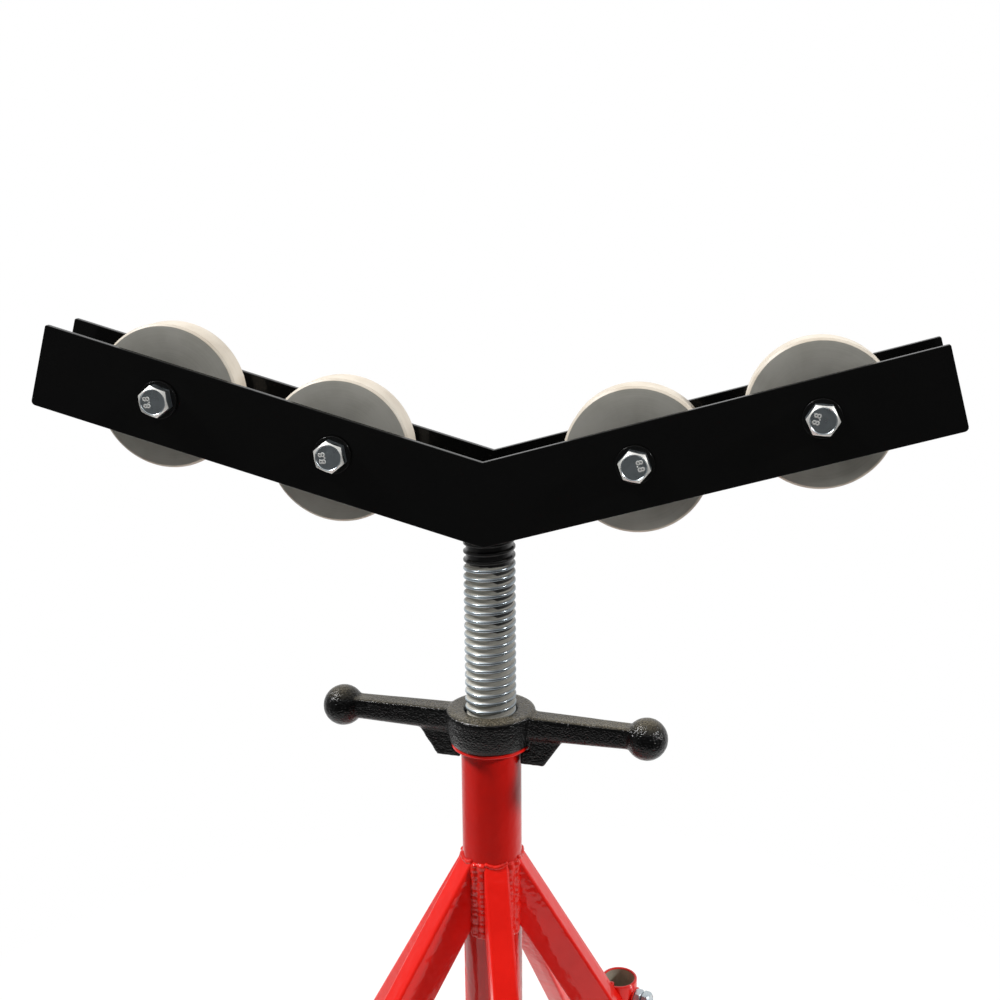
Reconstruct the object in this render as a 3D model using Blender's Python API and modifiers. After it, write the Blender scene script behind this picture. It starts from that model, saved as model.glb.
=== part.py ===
"""Roller stand for pipe: a V head with four ball-bearing wheels on a screw jack, over a
welded base of five legs. Metres, +Z up. The origin is on the column's axis at floor level."""

import math
from itertools import product

import bpy
import bmesh
from mathutils import Matrix, Vector

# Fits
SEAT_GAP = 0.0003  # between pieces that touch or are welded together
RUN_GAP = 0.0003  # round a shaft that turns or slides

# Column, the welded base's upright tube
COLUMN_OD = 0.0603
COLUMN_WALL = 0.0039
COLUMN_TOP = 0.5645
COLUMN_FOOT = 0.030

# Legs, rectangular tube welded round the column
LEG_COUNT = 5
LEG_LEAN = math.radians(32)  # from upright
LEG_JOINT = 0.444  # height at which a leg's outer face meets the column
LEG_WIDTH = 0.025
LEG_DEPTH = 0.040
LEG_WALL = 0.002
LEG_CORNER = 0.0035

# Foot plates
FOOT_LENGTH = 0.080
FOOT_WIDTH = 0.050
FOOT_THICK = 0.005
FOOT_CORNER = 0.010

# Braces between the column and the legs
BRACE_HEIGHT = 0.110
BRACE_BAR = 0.025
BRACE_THICK = 0.006

# Accessory socket beside the right-hand leg, and its clamping screw
SOCKET_LEG = 1  # counted round from the front leg
SOCKET_OD = 0.038
SOCKET_WALL = 0.003
SOCKET_LENGTH = 0.095
SOCKET_RIM = 0.288
SOCKET_RADIUS = 0.130  # from the column's axis, along the leg
CLAMP_DROP = 0.020  # of the clamping screw under the socket's rim
CLAMP_TURN = math.radians(-20)  # the way it points
CLAMP_THREAD = 0.012
CLAMP_FLATS = 0.019
CLAMP_HEAD = 0.0075
CLAMP_NUT = 0.008
CLAMP_STAND = 0.0015  # of its head off the nut at rest
CLAMP_SHANK = 0.020
CLAMP_HOLE = 0.013

# Jack: loose ring, handle nut and screw
RING_OD = 0.079
RING_THICK = 0.003
SCREW_OD = 0.0508
SCREW_BORE = 0.036
SCREW_LENGTH = 0.640
SCREW_SHOWN = 0.174  # bare between the nut and the head
HUB_OD = 0.090
HUB_FOOT_OD = 0.080
HUB_HEIGHT = 0.035
HUB_RIM = 0.0035  # rounding at the top
HUB_LEAD = 0.0015  # chamfer at the ends of the bore
HANDLE_TURN = math.radians(-8)
HANDLE_SPAN = 0.318  # between the balls' centres
HANDLE_HEIGHT = 0.020  # above the hub's foot
ARM_ROOT = (0.025, 0.0265)  # width and height at the hub
ARM_TIP = (0.020, 0.0225)
ARM_ROUND = 0.0075
BALL_OD = 0.042
LUG_THICK = 0.012
LUG_REACH = 0.075  # where the lug leaves the arm, from the axis
LUG_FOOT = 0.056
LUG_DROP = 0.020  # under the hub's foot
LUG_CLEAR = 0.0015  # to the ring and the column

# Head: two V plates on the screw
ARM_RISE = math.radians(16)
ARM_LENGTH = 0.432  # along the top edge, from the notch
PLATE_HEIGHT = 0.079
PLATE_THICK = 0.006
PLATE_CORNER_TOP = 0.0015
PLATE_CORNER_FOOT = 0.004
SCREW_UNDER_NOTCH = 0.025

# Wheels and what they run on
WHEEL_OD = 0.139
WHEEL_WIDTH = 0.030
WHEEL_CHAMFER = 0.002
WHEEL_DROP = 0.036  # of the axle under the plates' top edge
WHEEL_ALONG = (0.1375, 0.3105)  # inner and outer axle, from the notch
SHOULDER_BORE = 0.040
BEARING_OD = 0.047
BEARING_BORE = 0.025
BEARING_WIDTH = 0.012
BEARING_INSET = 0.0005
BUSH_COLLAR = 0.032
BOLT_OD = 0.018
BOLT_HOLE = 0.019
BOLT_FLATS = 0.027
BOLT_HEAD = 0.0115
BOLT_SHANK = 0.095
NUT_HEIGHT = 0.0145
NUT_COLLAR = 0.0185  # with the nut's locking collar
WASHER_OD = 0.036
WASHER_THICK = 0.003
BOLT_TURNS = {1: -8.7, 2: -9.0, 3: -20.0, 4: -27.0}  # each head's own turn, degrees

# Facets
FINE, MEDIUM, COARSE = 48, 40, 20

# Derived heights and places
RING_FOOT = COLUMN_TOP + SEAT_GAP
HUB_FOOT = RING_FOOT + RING_THICK + SEAT_GAP
HUB_TOP = HUB_FOOT + HUB_HEIGHT
APEX = HUB_TOP + SCREW_SHOWN
NOTCH = APEX + PLATE_HEIGHT / math.cos(ARM_RISE)
PLATE_INNER = SCREW_OD / 2 + SEAT_GAP  # the plates are welded to the screw's flanks
PLATE_OUTER = PLATE_INNER + PLATE_THICK
LEG_FACE = COLUMN_OD / 2  # radius of the outer face at LEG_JOINT

parts = bpy.data.collections.new("roller_stand")
cutters = bpy.data.collections.new("cutters")


def clear_scene():
    for old in list(bpy.data.objects):
        bpy.data.objects.remove(old)
    bpy.context.scene.collection.children.link(parts)
    bpy.context.scene.collection.children.link(cutters)
    cutters.hide_render = True


def material(name, colour, roughness, metallic=0.0):
    made = bpy.data.materials.new(name)
    made.use_nodes = True
    shader = made.node_tree.nodes["Principled BSDF"]
    shader.inputs["Base Color"].default_value = (*colour, 1)
    shader.inputs["Roughness"].default_value = roughness
    shader.inputs["Metallic"].default_value = metallic
    return made


def red_enamel():
    return material("red_enamel", (0.55, 0.02, 0.012), 0.25)


def black_enamel():
    return material("black_enamel", (0.006, 0.006, 0.007), 0.15)


def cast_enamel():
    return material("cast_black_enamel", (0.012, 0.012, 0.011), 0.35)


def bright_zinc():
    return material("bright_zinc", (0.55, 0.57, 0.58), 0.28, 1.0)


def cast_nylon():
    return material("cast_nylon", (0.62, 0.58, 0.50), 0.5)


def bearing_steel():
    return material("bearing_steel", (0.42, 0.43, 0.44), 0.3, 1.0)


def add_mesh(name, mesh, place, finish, collection=parts):
    """A new object with its own transform; place is its world matrix."""
    made = bpy.data.objects.new(name, mesh)
    made.matrix_world = place
    collection.objects.link(made)
    if collection is cutters:
        made.hide_render = True
        made.display_type = "WIRE"
    elif finish:
        mesh.materials.append(finish)
    return made


def smooth(made):
    made.data.shade_smooth()
    made.data.set_sharp_from_angle(angle=math.radians(35))
    return made


def evaluated_mesh(made):
    """The object's mesh with its modifiers, its doubles merged; the object is removed."""
    bpy.context.view_layer.update()
    graph = bpy.context.evaluated_depsgraph_get()
    mesh = bpy.data.meshes.new_from_object(made.evaluated_get(graph))
    work = bmesh.new()
    work.from_mesh(mesh)
    bmesh.ops.remove_doubles(work, verts=work.verts, dist=1e-6)
    bmesh.ops.recalc_face_normals(work, faces=work.faces)
    work.to_mesh(mesh)
    work.free()
    bpy.data.objects.remove(made)
    return mesh


def turned(name, profile, steps, place, finish, collection=parts, closed=True):
    """A turned piece: radius and height, down the outer side and back up the inner one.
    An open profile starts and ends on the axis."""
    mesh = bpy.data.meshes.new(name)
    points = [(radius, 0, height) for radius, height in profile]
    edges = [(i, i + 1) for i in range(len(points) - 1)]
    if closed:
        edges.append((len(points) - 1, 0))
    mesh.from_pydata(points, edges, [])
    guide = bpy.data.objects.new(name + "_profile", mesh)
    parts.objects.link(guide)
    screw = guide.modifiers.new("turn", "SCREW")
    screw.steps = screw.render_steps = steps
    screw.use_merge_vertices = True
    screw.merge_threshold = 0.00001
    made = add_mesh(name, evaluated_mesh(guide), place, finish, collection)
    return smooth(made)


def ring_profile(outer, bore, height, chamfer=0.0):
    """A ring's profile from its two diameters, chamfered at the outer corners."""
    far, near = outer / 2, bore / 2
    if not chamfer:
        return [(far, height), (far, 0), (near, 0), (near, height)]
    return [(far - chamfer, height), (far, height - chamfer), (far, chamfer),
            (far - chamfer, 0), (near, 0), (near, height)]


def rounded(corners, steps=3):
    """An outline from (x, y, radius) corners, each corner an arc."""
    outline = []
    count = len(corners)
    for i, (x, y, radius) in enumerate(corners):
        here = Vector((x, y))
        back = (Vector(corners[i - 1][:2]) - here).normalized()
        ahead = (Vector(corners[(i + 1) % count][:2]) - here).normalized()
        half = back.angle(ahead) / 2
        if radius <= 0:
            outline.append(tuple(here))
            continue
        middle = here + (back + ahead).normalized() * radius / math.sin(half)
        start = here + back * radius / math.tan(half) - middle
        end = here + ahead * radius / math.tan(half) - middle
        sweep = start.angle_signed(end)
        for step in range(steps + 1):
            turn = Matrix.Rotation(-sweep * step / steps, 2)
            outline.append(tuple(middle + turn @ start))
    return outline


def circle(x, y, radius, steps=COARSE):
    angles = (2 * math.pi * i / steps for i in range(steps))
    return [(x + radius * math.cos(a), y + radius * math.sin(a)) for a in angles]


def flat_bar(name, outlines, thickness, place, finish, collection=parts):
    """A flat outline with its holes, thick along local Z about the middle."""
    curve = bpy.data.curves.new(name, "CURVE")
    curve.dimensions = "2D"
    curve.fill_mode = "BOTH"
    curve.extrude = thickness / 2
    for outline in outlines:
        spline = curve.splines.new("POLY")
        spline.points.add(len(outline) - 1)
        spline.use_cyclic_u = True
        for point, (x, y) in zip(spline.points, outline):
            point.co = (x, y, 0, 1)
    guide = bpy.data.objects.new(name + "_outline", curve)
    parts.objects.link(guide)
    return smooth(add_mesh(name, evaluated_mesh(guide), place, finish, collection))


def block(name, size, place, finish=None, collection=cutters):
    work = bmesh.new()
    bmesh.ops.create_cube(work, size=1)
    bmesh.ops.scale(work, vec=size, verts=work.verts)
    mesh = bpy.data.meshes.new(name)
    work.to_mesh(mesh)
    work.free()
    return add_mesh(name, mesh, place, finish, collection)


def rod(name, diameter, low, high, place, steps=COARSE):
    """A plain cylinder between two heights, as a cutter."""
    profile = [(0, high), (diameter / 2, high), (diameter / 2, low), (0, low)]
    return turned(name, profile, steps, place, None, cutters, closed=False)


def boolean(made, other, operation):
    change = made.modifiers.new(other.name, "BOOLEAN")
    change.operation = operation
    change.object = other
    change.solver = "EXACT"


def applied(made, finish):
    """The same object with its modifiers made real."""
    name, place = made.name, made.matrix_world.copy()
    mesh = evaluated_mesh(made)
    mesh.name = name
    mesh.materials.clear()
    return smooth(add_mesh(name, mesh, place, finish))


def moved(x=0.0, y=0.0, z=0.0):
    return Matrix.Translation((x, y, z))


def turn(axis, angle):
    return Matrix.Rotation(angle, 4, axis)


def leg_azimuth(index):
    """The first leg stands a quarter of a step right of the front, so that the
    footprint is even about the column from left to right and from front to back."""
    step = 2 * math.pi / LEG_COUNT
    return (index - (LEG_COUNT // 4)) * step


# Base

def add_column(finish):
    bore = COLUMN_OD - 2 * COLUMN_WALL
    profile = ring_profile(COLUMN_OD, bore, COLUMN_TOP - COLUMN_FOOT, 0.001)
    return turned("column_tube", profile, FINE, moved(z=COLUMN_FOOT), finish)


def leg_outer_radius(height):
    return LEG_FACE + (LEG_JOINT - height) * math.tan(LEG_LEAN)


def leg_inner_radius(height):
    return leg_outer_radius(height) - LEG_DEPTH / math.cos(LEG_LEAN)


def tube_outline(depth, width, corner):
    x, y = depth / 2, width / 2
    return rounded([(x, y, corner), (-x, y, corner), (-x, -y, corner), (x, -y, corner)], 2)


def add_leg(index, column_cut, floor_cut, finish):
    name = f"leg_{index + 1}"
    seat = FOOT_THICK + SEAT_GAP
    middle = (LEG_JOINT + seat) / 2
    centre = leg_outer_radius(middle) - LEG_DEPTH / 2 / math.cos(LEG_LEAN)
    square_end = LEG_DEPTH / 2 * math.tan(LEG_LEAN) + 0.001
    length = (LEG_JOINT - seat) / math.cos(LEG_LEAN) + 2 * square_end
    place = turn("Z", leg_azimuth(index)) @ moved(centre, 0, middle) @ turn("Y", -LEG_LEAN)
    wall = LEG_WALL
    outlines = [tube_outline(LEG_DEPTH, LEG_WIDTH, LEG_CORNER),
                tube_outline(LEG_DEPTH - 2 * wall, LEG_WIDTH - 2 * wall, LEG_CORNER - wall)]
    made = flat_bar(name, outlines, length, place, finish)
    boolean(made, column_cut, "DIFFERENCE")
    boolean(made, floor_cut, "DIFFERENCE")
    return made


def add_foot(index, finish):
    radius = (leg_outer_radius(FOOT_THICK) + leg_inner_radius(FOOT_THICK)) / 2
    x, y = FOOT_LENGTH / 2, FOOT_WIDTH / 2
    outline = rounded([(x, y, FOOT_CORNER), (-x, y, FOOT_CORNER),
                       (-x, -y, FOOT_CORNER), (x, -y, FOOT_CORNER)])
    place = turn("Z", leg_azimuth(index)) @ moved(radius, 0, FOOT_THICK / 2)
    return flat_bar(f"foot_plate_{index + 1}", [outline], FOOT_THICK, place, finish)


def add_brace(index, finish):
    low, high = BRACE_HEIGHT - BRACE_BAR / 2, BRACE_HEIGHT + BRACE_BAR / 2
    root = COLUMN_OD / 2 + SEAT_GAP
    gap = SEAT_GAP / math.cos(LEG_LEAN)
    outline = [(root, low), (leg_inner_radius(low) - gap, low),
               (leg_inner_radius(high) - gap, high), (root, high)]
    place = turn("Z", leg_azimuth(index)) @ turn("X", math.pi / 2)
    return flat_bar(f"leg_brace_{index + 1}", [outline], BRACE_THICK, place, finish)


def add_base(enamel):
    add_column(enamel)
    reach = COLUMN_TOP
    column_cut = rod("column_cut", COLUMN_OD + 2 * SEAT_GAP, 0, reach, moved(), FINE)
    floor = FOOT_THICK + SEAT_GAP
    floor_cut = block("floor_cut", (2 * reach, 2 * reach, reach), moved(z=floor - reach / 2))
    for index in range(LEG_COUNT):
        add_leg(index, column_cut, floor_cut, enamel)
        add_foot(index, enamel)
        add_brace(index, enamel)


# Accessory socket

def hexagon(name, flats, height, place, finish, collection=parts):
    """A hexagon with one corner at local +Y, from local z = 0 up, both ends chamfered."""
    work = bmesh.new()
    radius = flats / 2 / math.cos(math.pi / 6)
    bmesh.ops.create_cone(work, cap_ends=True, segments=6, radius1=radius, radius2=radius,
                          depth=height, matrix=Matrix.Translation((0, 0, height / 2)))
    mesh = bpy.data.meshes.new(name)
    work.to_mesh(mesh)
    work.free()
    return add_mesh(name, mesh, place, finish, collection)


def chamfered(made, flats, height, place, both):
    """Cuts the corners of a hexagon's top end, or of both ends, at 30 degrees."""
    corner = flats / 2 / math.cos(math.pi / 6)
    face = 0.475 * flats
    drop = (corner * 1.02 - face) * math.tan(math.radians(30))
    profile = [(0, height), (face, height), (corner * 1.02, height - drop)]
    profile += [(corner * 1.02, drop), (face, 0)] if both else [(corner * 1.02, 0)]
    profile.append((0, 0))
    cut = turned(made.name + "_chamfer", profile, 24, place, None, cutters, closed=False)
    boolean(made, cut, "INTERSECT")
    return made


def socket_place():
    """The socket's axis at its rim, beside the leg's flank; local X points out."""
    beside = LEG_WIDTH / 2 + SEAT_GAP + SOCKET_OD / 2
    azimuth = leg_azimuth(SOCKET_LEG)
    return turn("Z", azimuth) @ moved(SOCKET_RADIUS, beside, SOCKET_RIM)


def clamp_place():
    """The clamping screw's axis; local Z points out of the socket from its axis."""
    return socket_place() @ turn("Z", CLAMP_TURN) @ moved(z=-CLAMP_DROP) @ turn("Y", math.pi / 2)


def add_socket(enamel, zinc):
    profile = ring_profile(SOCKET_OD, SOCKET_OD - 2 * SOCKET_WALL, SOCKET_LENGTH, 0.0008)
    foot = socket_place() @ moved(z=-SOCKET_LENGTH)
    tube = turned("accessory_socket", profile, 32, foot, enamel)
    hole = rod("clamp_hole", CLAMP_HOLE, 0, SOCKET_OD, clamp_place())
    boolean(tube, hole, "DIFFERENCE")

    seat = SOCKET_OD / 2 + SEAT_GAP
    nut_place = clamp_place() @ moved(z=seat)
    nut = hexagon("socket_nut", CLAMP_FLATS, CLAMP_NUT, nut_place, zinc)
    chamfered(nut, CLAMP_FLATS, CLAMP_NUT, nut_place, both=True)
    thread = rod("clamp_thread", CLAMP_THREAD + 2 * RUN_GAP, -0.001, CLAMP_NUT + 0.001, nut_place)
    boolean(nut, thread, "DIFFERENCE")

    head_place = nut_place @ moved(z=CLAMP_NUT + CLAMP_STAND)
    head = hexagon("set_screw", CLAMP_FLATS, CLAMP_HEAD, head_place, None)
    chamfered(head, CLAMP_FLATS, CLAMP_HEAD, head_place, both=False)
    shank = rod("set_screw_shank", CLAMP_THREAD, -CLAMP_SHANK, 0.001, head_place)
    boolean(head, shank, "UNION")
    applied(head, zinc)


# Jack

def add_ring(finish):
    bore = SCREW_OD + 4 * RUN_GAP
    profile = ring_profile(RING_OD, bore, RING_THICK, 0.0006)
    turned("thrust_ring", profile, FINE, moved(z=RING_FOOT), finish)


def hub_profile():
    """The hub before it is bored: it drafts in towards its foot, with a rounded rim."""
    top, foot, rim = HUB_OD / 2, HUB_FOOT_OD / 2, HUB_RIM
    return [(0, HUB_HEIGHT), (top - rim, HUB_HEIGHT),
            (top - 0.3 * rim, HUB_HEIGHT - 0.3 * rim), (top, HUB_HEIGHT - rim),
            (top - 0.3 * rim, HUB_HEIGHT * 0.45), (foot + 0.6 * rim, HUB_HEIGHT / 7),
            (foot, 0), (0, 0)]


def add_arms(name, place):
    """One tapered bar through the hub, flat on top and rounded under, as a solid to join."""
    work = bmesh.new()
    bmesh.ops.create_cube(work, size=1)
    lengthwise = [e for e in work.edges if abs(e.verts[0].co.x - e.verts[1].co.x) > 0.5]
    bmesh.ops.subdivide_edges(work, edges=lengthwise, cuts=1)
    for vert in work.verts:
        share = abs(vert.co.x) * 2
        width = ARM_ROOT[0] + (ARM_TIP[0] - ARM_ROOT[0]) * share
        height = ARM_ROOT[1] + (ARM_TIP[1] - ARM_ROOT[1]) * share
        vert.co = Vector((vert.co.x * HANDLE_SPAN, vert.co.y * width, vert.co.z * height))
    mesh = bpy.data.meshes.new(name)
    work.to_mesh(mesh)
    work.free()
    weights = mesh.attributes.new("bevel_weight_edge", "FLOAT", "EDGE")
    for edge, weight in zip(mesh.edges, weights.data):
        a, b = (mesh.vertices[i].co for i in edge.vertices)
        if abs(a.x - b.x) > HANDLE_SPAN / 4:
            weight.value = 1.0 if a.z < 0 else 0.35
    made = add_mesh(name, mesh, place, None, cutters)
    bevel = made.modifiers.new("round", "BEVEL")
    bevel.limit_method = "WEIGHT"
    bevel.width = ARM_ROUND
    bevel.segments = 3
    return made


def add_ball(name, place):
    work = bmesh.new()
    bmesh.ops.create_uvsphere(work, u_segments=20, v_segments=12, radius=BALL_OD / 2)
    mesh = bpy.data.meshes.new(name)
    work.to_mesh(mesh)
    work.free()
    return add_mesh(name, mesh, place, None, cutters)


def add_lug(name, place):
    """A web under the arm, hooked in under the ring."""
    under_ring = -(SEAT_GAP + RING_THICK + LUG_CLEAR)
    near = COLUMN_OD / 2 + LUG_CLEAR
    beside = RING_OD / 2 + LUG_CLEAR
    inside, top = HUB_FOOT_OD / 2 - 0.004, HANDLE_HEIGHT - ARM_ROOT[1] / 2 + 0.006
    outline = [(LUG_REACH, top), (LUG_REACH, top - 0.0045), (LUG_FOOT, -LUG_DROP),
               (near, -LUG_DROP), (near, under_ring), (beside, under_ring),
               (beside, 0.0015), (inside, 0.0015), (inside, top)]
    return flat_bar(name, [outline], LUG_THICK, place @ turn("X", math.pi / 2), None, cutters)


def add_nut(finish):
    """The cast handle nut: hub, arms, balls and lugs joined, then bored."""
    place = moved(z=HUB_FOOT) @ turn("Z", HANDLE_TURN)
    hub = turned("handle_nut", hub_profile(), FINE, place, None, closed=False)
    arm_place = place @ moved(z=HANDLE_HEIGHT)
    boolean(hub, add_arms("handle_arms", arm_place), "UNION")
    for side in (-1, 1):
        tag = "left" if side < 0 else "right"
        ball = add_ball(f"ball_{tag}", arm_place @ moved(side * HANDLE_SPAN / 2))
        boolean(hub, ball, "UNION")
        way = place @ turn("Z", math.pi if side < 0 else 0)
        boolean(hub, add_lug(f"lug_{tag}", way), "UNION")
    thread, lead, over = SCREW_OD / 2 + RUN_GAP, HUB_LEAD, 0.001
    bore = [(0, HUB_HEIGHT + over), (thread + lead + over, HUB_HEIGHT + over),
            (thread, HUB_HEIGHT - lead), (thread, lead), (thread + lead + over, -over),
            (0, -over)]
    boolean(hub, turned("nut_bore", bore, FINE, place, None, cutters, closed=False), "DIFFERENCE")
    applied(hub, finish)


def add_screw(finish):
    far, near, chamfer = SCREW_OD / 2, SCREW_BORE / 2, 0.003
    top = NOTCH - SCREW_UNDER_NOTCH
    profile = [(far, SCREW_LENGTH), (far, chamfer), (far - chamfer, 0), (near, 0),
               (near, SCREW_LENGTH)]
    turned("jack_screw", profile, FINE, moved(z=top - SCREW_LENGTH), finish)


# Head

def axle_points():
    """Each wheel's axle in the X-Z plane, numbered from left to right."""
    inner, outer = WHEEL_ALONG
    points = {}
    for number, side, along in ((1, -1, outer), (2, -1, inner), (3, 1, inner), (4, 1, outer)):
        x = along * math.cos(ARM_RISE) + WHEEL_DROP * math.sin(ARM_RISE)
        z = NOTCH + along * math.sin(ARM_RISE) - WHEEL_DROP * math.cos(ARM_RISE)
        points[number] = (side * x, z)
    return points


def plate_outline():
    """One V plate: top edges meet at the notch, bottom edges at the apex."""
    run, rise = math.cos(ARM_RISE), math.sin(ARM_RISE)
    end_x, end_z = ARM_LENGTH * run, ARM_LENGTH * rise
    foot_x, foot_z = end_x + PLATE_HEIGHT * rise, end_z - PLATE_HEIGHT * run
    apex = -PLATE_HEIGHT / run
    return rounded([(0, 0, 0), (-end_x, end_z, PLATE_CORNER_TOP),
                    (-foot_x, foot_z, PLATE_CORNER_FOOT), (0, apex, 0),
                    (foot_x, foot_z, PLATE_CORNER_FOOT), (end_x, end_z, PLATE_CORNER_TOP)])


def add_plates(finish):
    holes = [circle(x, z - NOTCH, BOLT_HOLE / 2) for x, z in axle_points().values()]
    middle = (PLATE_INNER + PLATE_OUTER) / 2
    for name, y in (("front_plate", -middle), ("back_plate", middle)):
        place = moved(0, y, NOTCH) @ turn("X", math.pi / 2)
        flat_bar(name, [plate_outline(), *holes], PLATE_THICK, place, finish)


def axle_place(number):
    """On the axle, with local Z along world +Y and local Y down."""
    x, z = axle_points()[number]
    return moved(x, 0, z) @ turn("X", -math.pi / 2)


def wheel_profile():
    """Half-width heights; each face has a recess for its bearing and a shoulder between."""
    rim, half = WHEEL_OD / 2, WHEEL_WIDTH / 2
    seat = BEARING_OD / 2 + SEAT_GAP
    shoulder = half - BEARING_INSET - BEARING_WIDTH - SEAT_GAP
    inner = SHOULDER_BORE / 2
    return [(rim - WHEEL_CHAMFER, half), (rim, half - WHEEL_CHAMFER),
            (rim, WHEEL_CHAMFER - half), (rim - WHEEL_CHAMFER, -half), (seat, -half),
            (seat, -shoulder), (inner, -shoulder), (inner, shoulder), (seat, shoulder),
            (seat, half)]


def bush_profile():
    """Half of the axle's sleeve: a collar from the plate and a spigot through the bearing."""
    bore, spigot = BOLT_OD / 2 + SEAT_GAP, BEARING_BORE / 2 - RUN_GAP
    step = WHEEL_WIDTH / 2 - BEARING_INSET + SEAT_GAP
    near, far = SEAT_GAP / 2, PLATE_INNER - SEAT_GAP
    collar = BUSH_COLLAR / 2
    return [(collar, far), (collar, step), (spigot, step), (spigot, near), (bore, near),
            (bore, far)]


def add_wheel(number, nylon, steel, zinc):
    place = axle_place(number)
    turned(f"wheel_{number}", wheel_profile(), MEDIUM, place, nylon)
    middle = WHEEL_WIDTH / 2 - BEARING_INSET - BEARING_WIDTH
    for tag, way in (("front", turn("X", math.pi)), ("rear", Matrix.Identity(4))):
        race = ring_profile(BEARING_OD, BEARING_BORE, BEARING_WIDTH)
        turned(f"bearing_{number}_{tag}", race, COARSE, place @ way @ moved(z=middle), steel)
        turned(f"bush_{number}_{tag}", bush_profile(), COARSE, place @ way, zinc)


def add_bolt(number, zinc, enamel):
    place = axle_place(number) @ turn("Z", math.radians(BOLT_TURNS[number]))
    washer = ring_profile(WASHER_OD, BOLT_HOLE, WASHER_THICK)
    outer = PLATE_OUTER + SEAT_GAP
    front = place @ moved(z=-outer - WASHER_THICK)
    turned(f"washer_{number}_front", washer, COARSE, front, enamel)
    turned(f"washer_{number}_rear", washer, COARSE, place @ moved(z=outer), zinc)

    head_place = front @ moved(z=-SEAT_GAP) @ turn("X", math.pi)
    head = hexagon(f"axle_bolt_{number}", BOLT_FLATS, BOLT_HEAD, head_place, None)
    chamfered(head, BOLT_FLATS, BOLT_HEAD, head_place, both=False)
    shank = rod(f"shank_{number}", BOLT_OD, -BOLT_SHANK, 0.001, head_place)
    boolean(head, shank, "UNION")
    applied(head, zinc)

    nut_place = place @ moved(z=outer + WASHER_THICK + SEAT_GAP)
    nut = hexagon(f"lock_nut_{number}", BOLT_FLATS, NUT_HEIGHT, nut_place, None)
    chamfered(nut, BOLT_FLATS, NUT_HEIGHT, nut_place, both=False)
    collar = rod(f"collar_{number}", 0.86 * BOLT_FLATS, NUT_HEIGHT / 2, NUT_COLLAR, nut_place)
    boolean(nut, collar, "UNION")
    thread = rod(f"thread_{number}", BOLT_OD + 2 * SEAT_GAP, -0.001, NUT_COLLAR + 0.001, nut_place)
    boolean(nut, thread, "DIFFERENCE")
    applied(nut, zinc)


def main():
    clear_scene()
    red, black, cast = red_enamel(), black_enamel(), cast_enamel()
    zinc, nylon, steel = bright_zinc(), cast_nylon(), bearing_steel()
    add_base(red)
    add_socket(red, zinc)
    add_ring(red)
    add_nut(cast)
    add_screw(zinc)
    add_plates(black)
    for number in axle_points():
        add_wheel(number, nylon, steel, zinc)
        add_bolt(number, zinc, black)


main()
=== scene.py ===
"""Looks of the roller stand, built in Blender 4.5 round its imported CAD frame."""

import sys

import logging
import math
from collections.abc import Iterable, Sequence
from dataclasses import dataclass, field
from enum import Enum

import bmesh
import bpy
from mathutils import Matrix, Vector


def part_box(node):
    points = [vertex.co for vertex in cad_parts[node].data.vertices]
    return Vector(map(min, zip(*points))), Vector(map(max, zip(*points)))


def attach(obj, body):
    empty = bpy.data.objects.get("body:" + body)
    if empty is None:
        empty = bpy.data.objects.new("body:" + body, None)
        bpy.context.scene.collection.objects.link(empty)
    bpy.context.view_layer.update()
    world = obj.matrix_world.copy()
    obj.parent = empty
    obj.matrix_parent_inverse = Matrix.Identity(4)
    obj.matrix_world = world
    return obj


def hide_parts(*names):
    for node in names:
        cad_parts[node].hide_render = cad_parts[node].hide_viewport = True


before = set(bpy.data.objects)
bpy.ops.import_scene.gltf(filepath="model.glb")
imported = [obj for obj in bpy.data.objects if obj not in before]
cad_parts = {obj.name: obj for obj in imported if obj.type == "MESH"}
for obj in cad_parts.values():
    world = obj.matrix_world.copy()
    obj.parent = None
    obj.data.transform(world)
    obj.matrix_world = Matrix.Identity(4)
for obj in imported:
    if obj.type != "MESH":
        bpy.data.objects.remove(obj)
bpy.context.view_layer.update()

LOG = logging.getLogger("roller_stand")
UV_NAME = "turned"
METRIC_DEPTH = 0.61  # of a metric thread, as a share of its pitch
CREASE = math.radians(32)  # an edge that turns by more stays sharp
CORNER = math.radians(30)  # a CAD edge that turns by more is rounded
OPEN_CORNER = math.radians(60)  # past what a rounding's facets turn by
FLAT = math.radians(0.5)  # CAD triangles that turn by less are one face
SAME_PLACE = 2e-6  # points nearer than this are one
NIL = 1e-7  # a length below this is none
FAR = 1.0  # past the ends of any piece, for what cuts it
THROUGH = 0.1  # past the ends of a nut, for what bores it

Point = tuple[float, float]
Corner = tuple[float, float, float]


class Slot(Enum):
    """Material slots of the record."""

    RED = "red_enamel"
    BLACK = "black_enamel"
    CAST = "cast_black"
    ZINC = "bright_zinc"
    NYLON = "cast_nylon"
    STEEL = "bearing_steel"


class Body(Enum):
    """Bodies that a piece can ride on."""

    BASE = "base"
    CLAMP = "clamp_screw"
    TURNTABLE = "turntable"
    HANDLE = "handle"
    HEAD = "head"
    ROLLER_1 = "roller_1"
    ROLLER_2 = "roller_2"
    ROLLER_3 = "roller_3"
    ROLLER_4 = "roller_4"


def linear(colour: str) -> tuple[float, float, float, float]:
    """Turns an sRGB hex colour into linear values.

    Args:
        colour: Six hex digits, with or without a leading #.

    Returns:
        Red, green, blue and an alpha of 1.
    """
    digits = colour.lstrip("#")
    parts = [int(digits[i : i + 2], 16) / 255 for i in (0, 2, 4)]
    red, green, blue = (p / 12.92 if p <= 0.04045 else ((p + 0.055) / 1.055) ** 2.4 for p in parts)
    return red, green, blue, 1.0


def per_metre(millimetres: float) -> float:
    """Texture scale at which one feature of the pattern is this long."""
    return 1000 / millimetres


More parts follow.
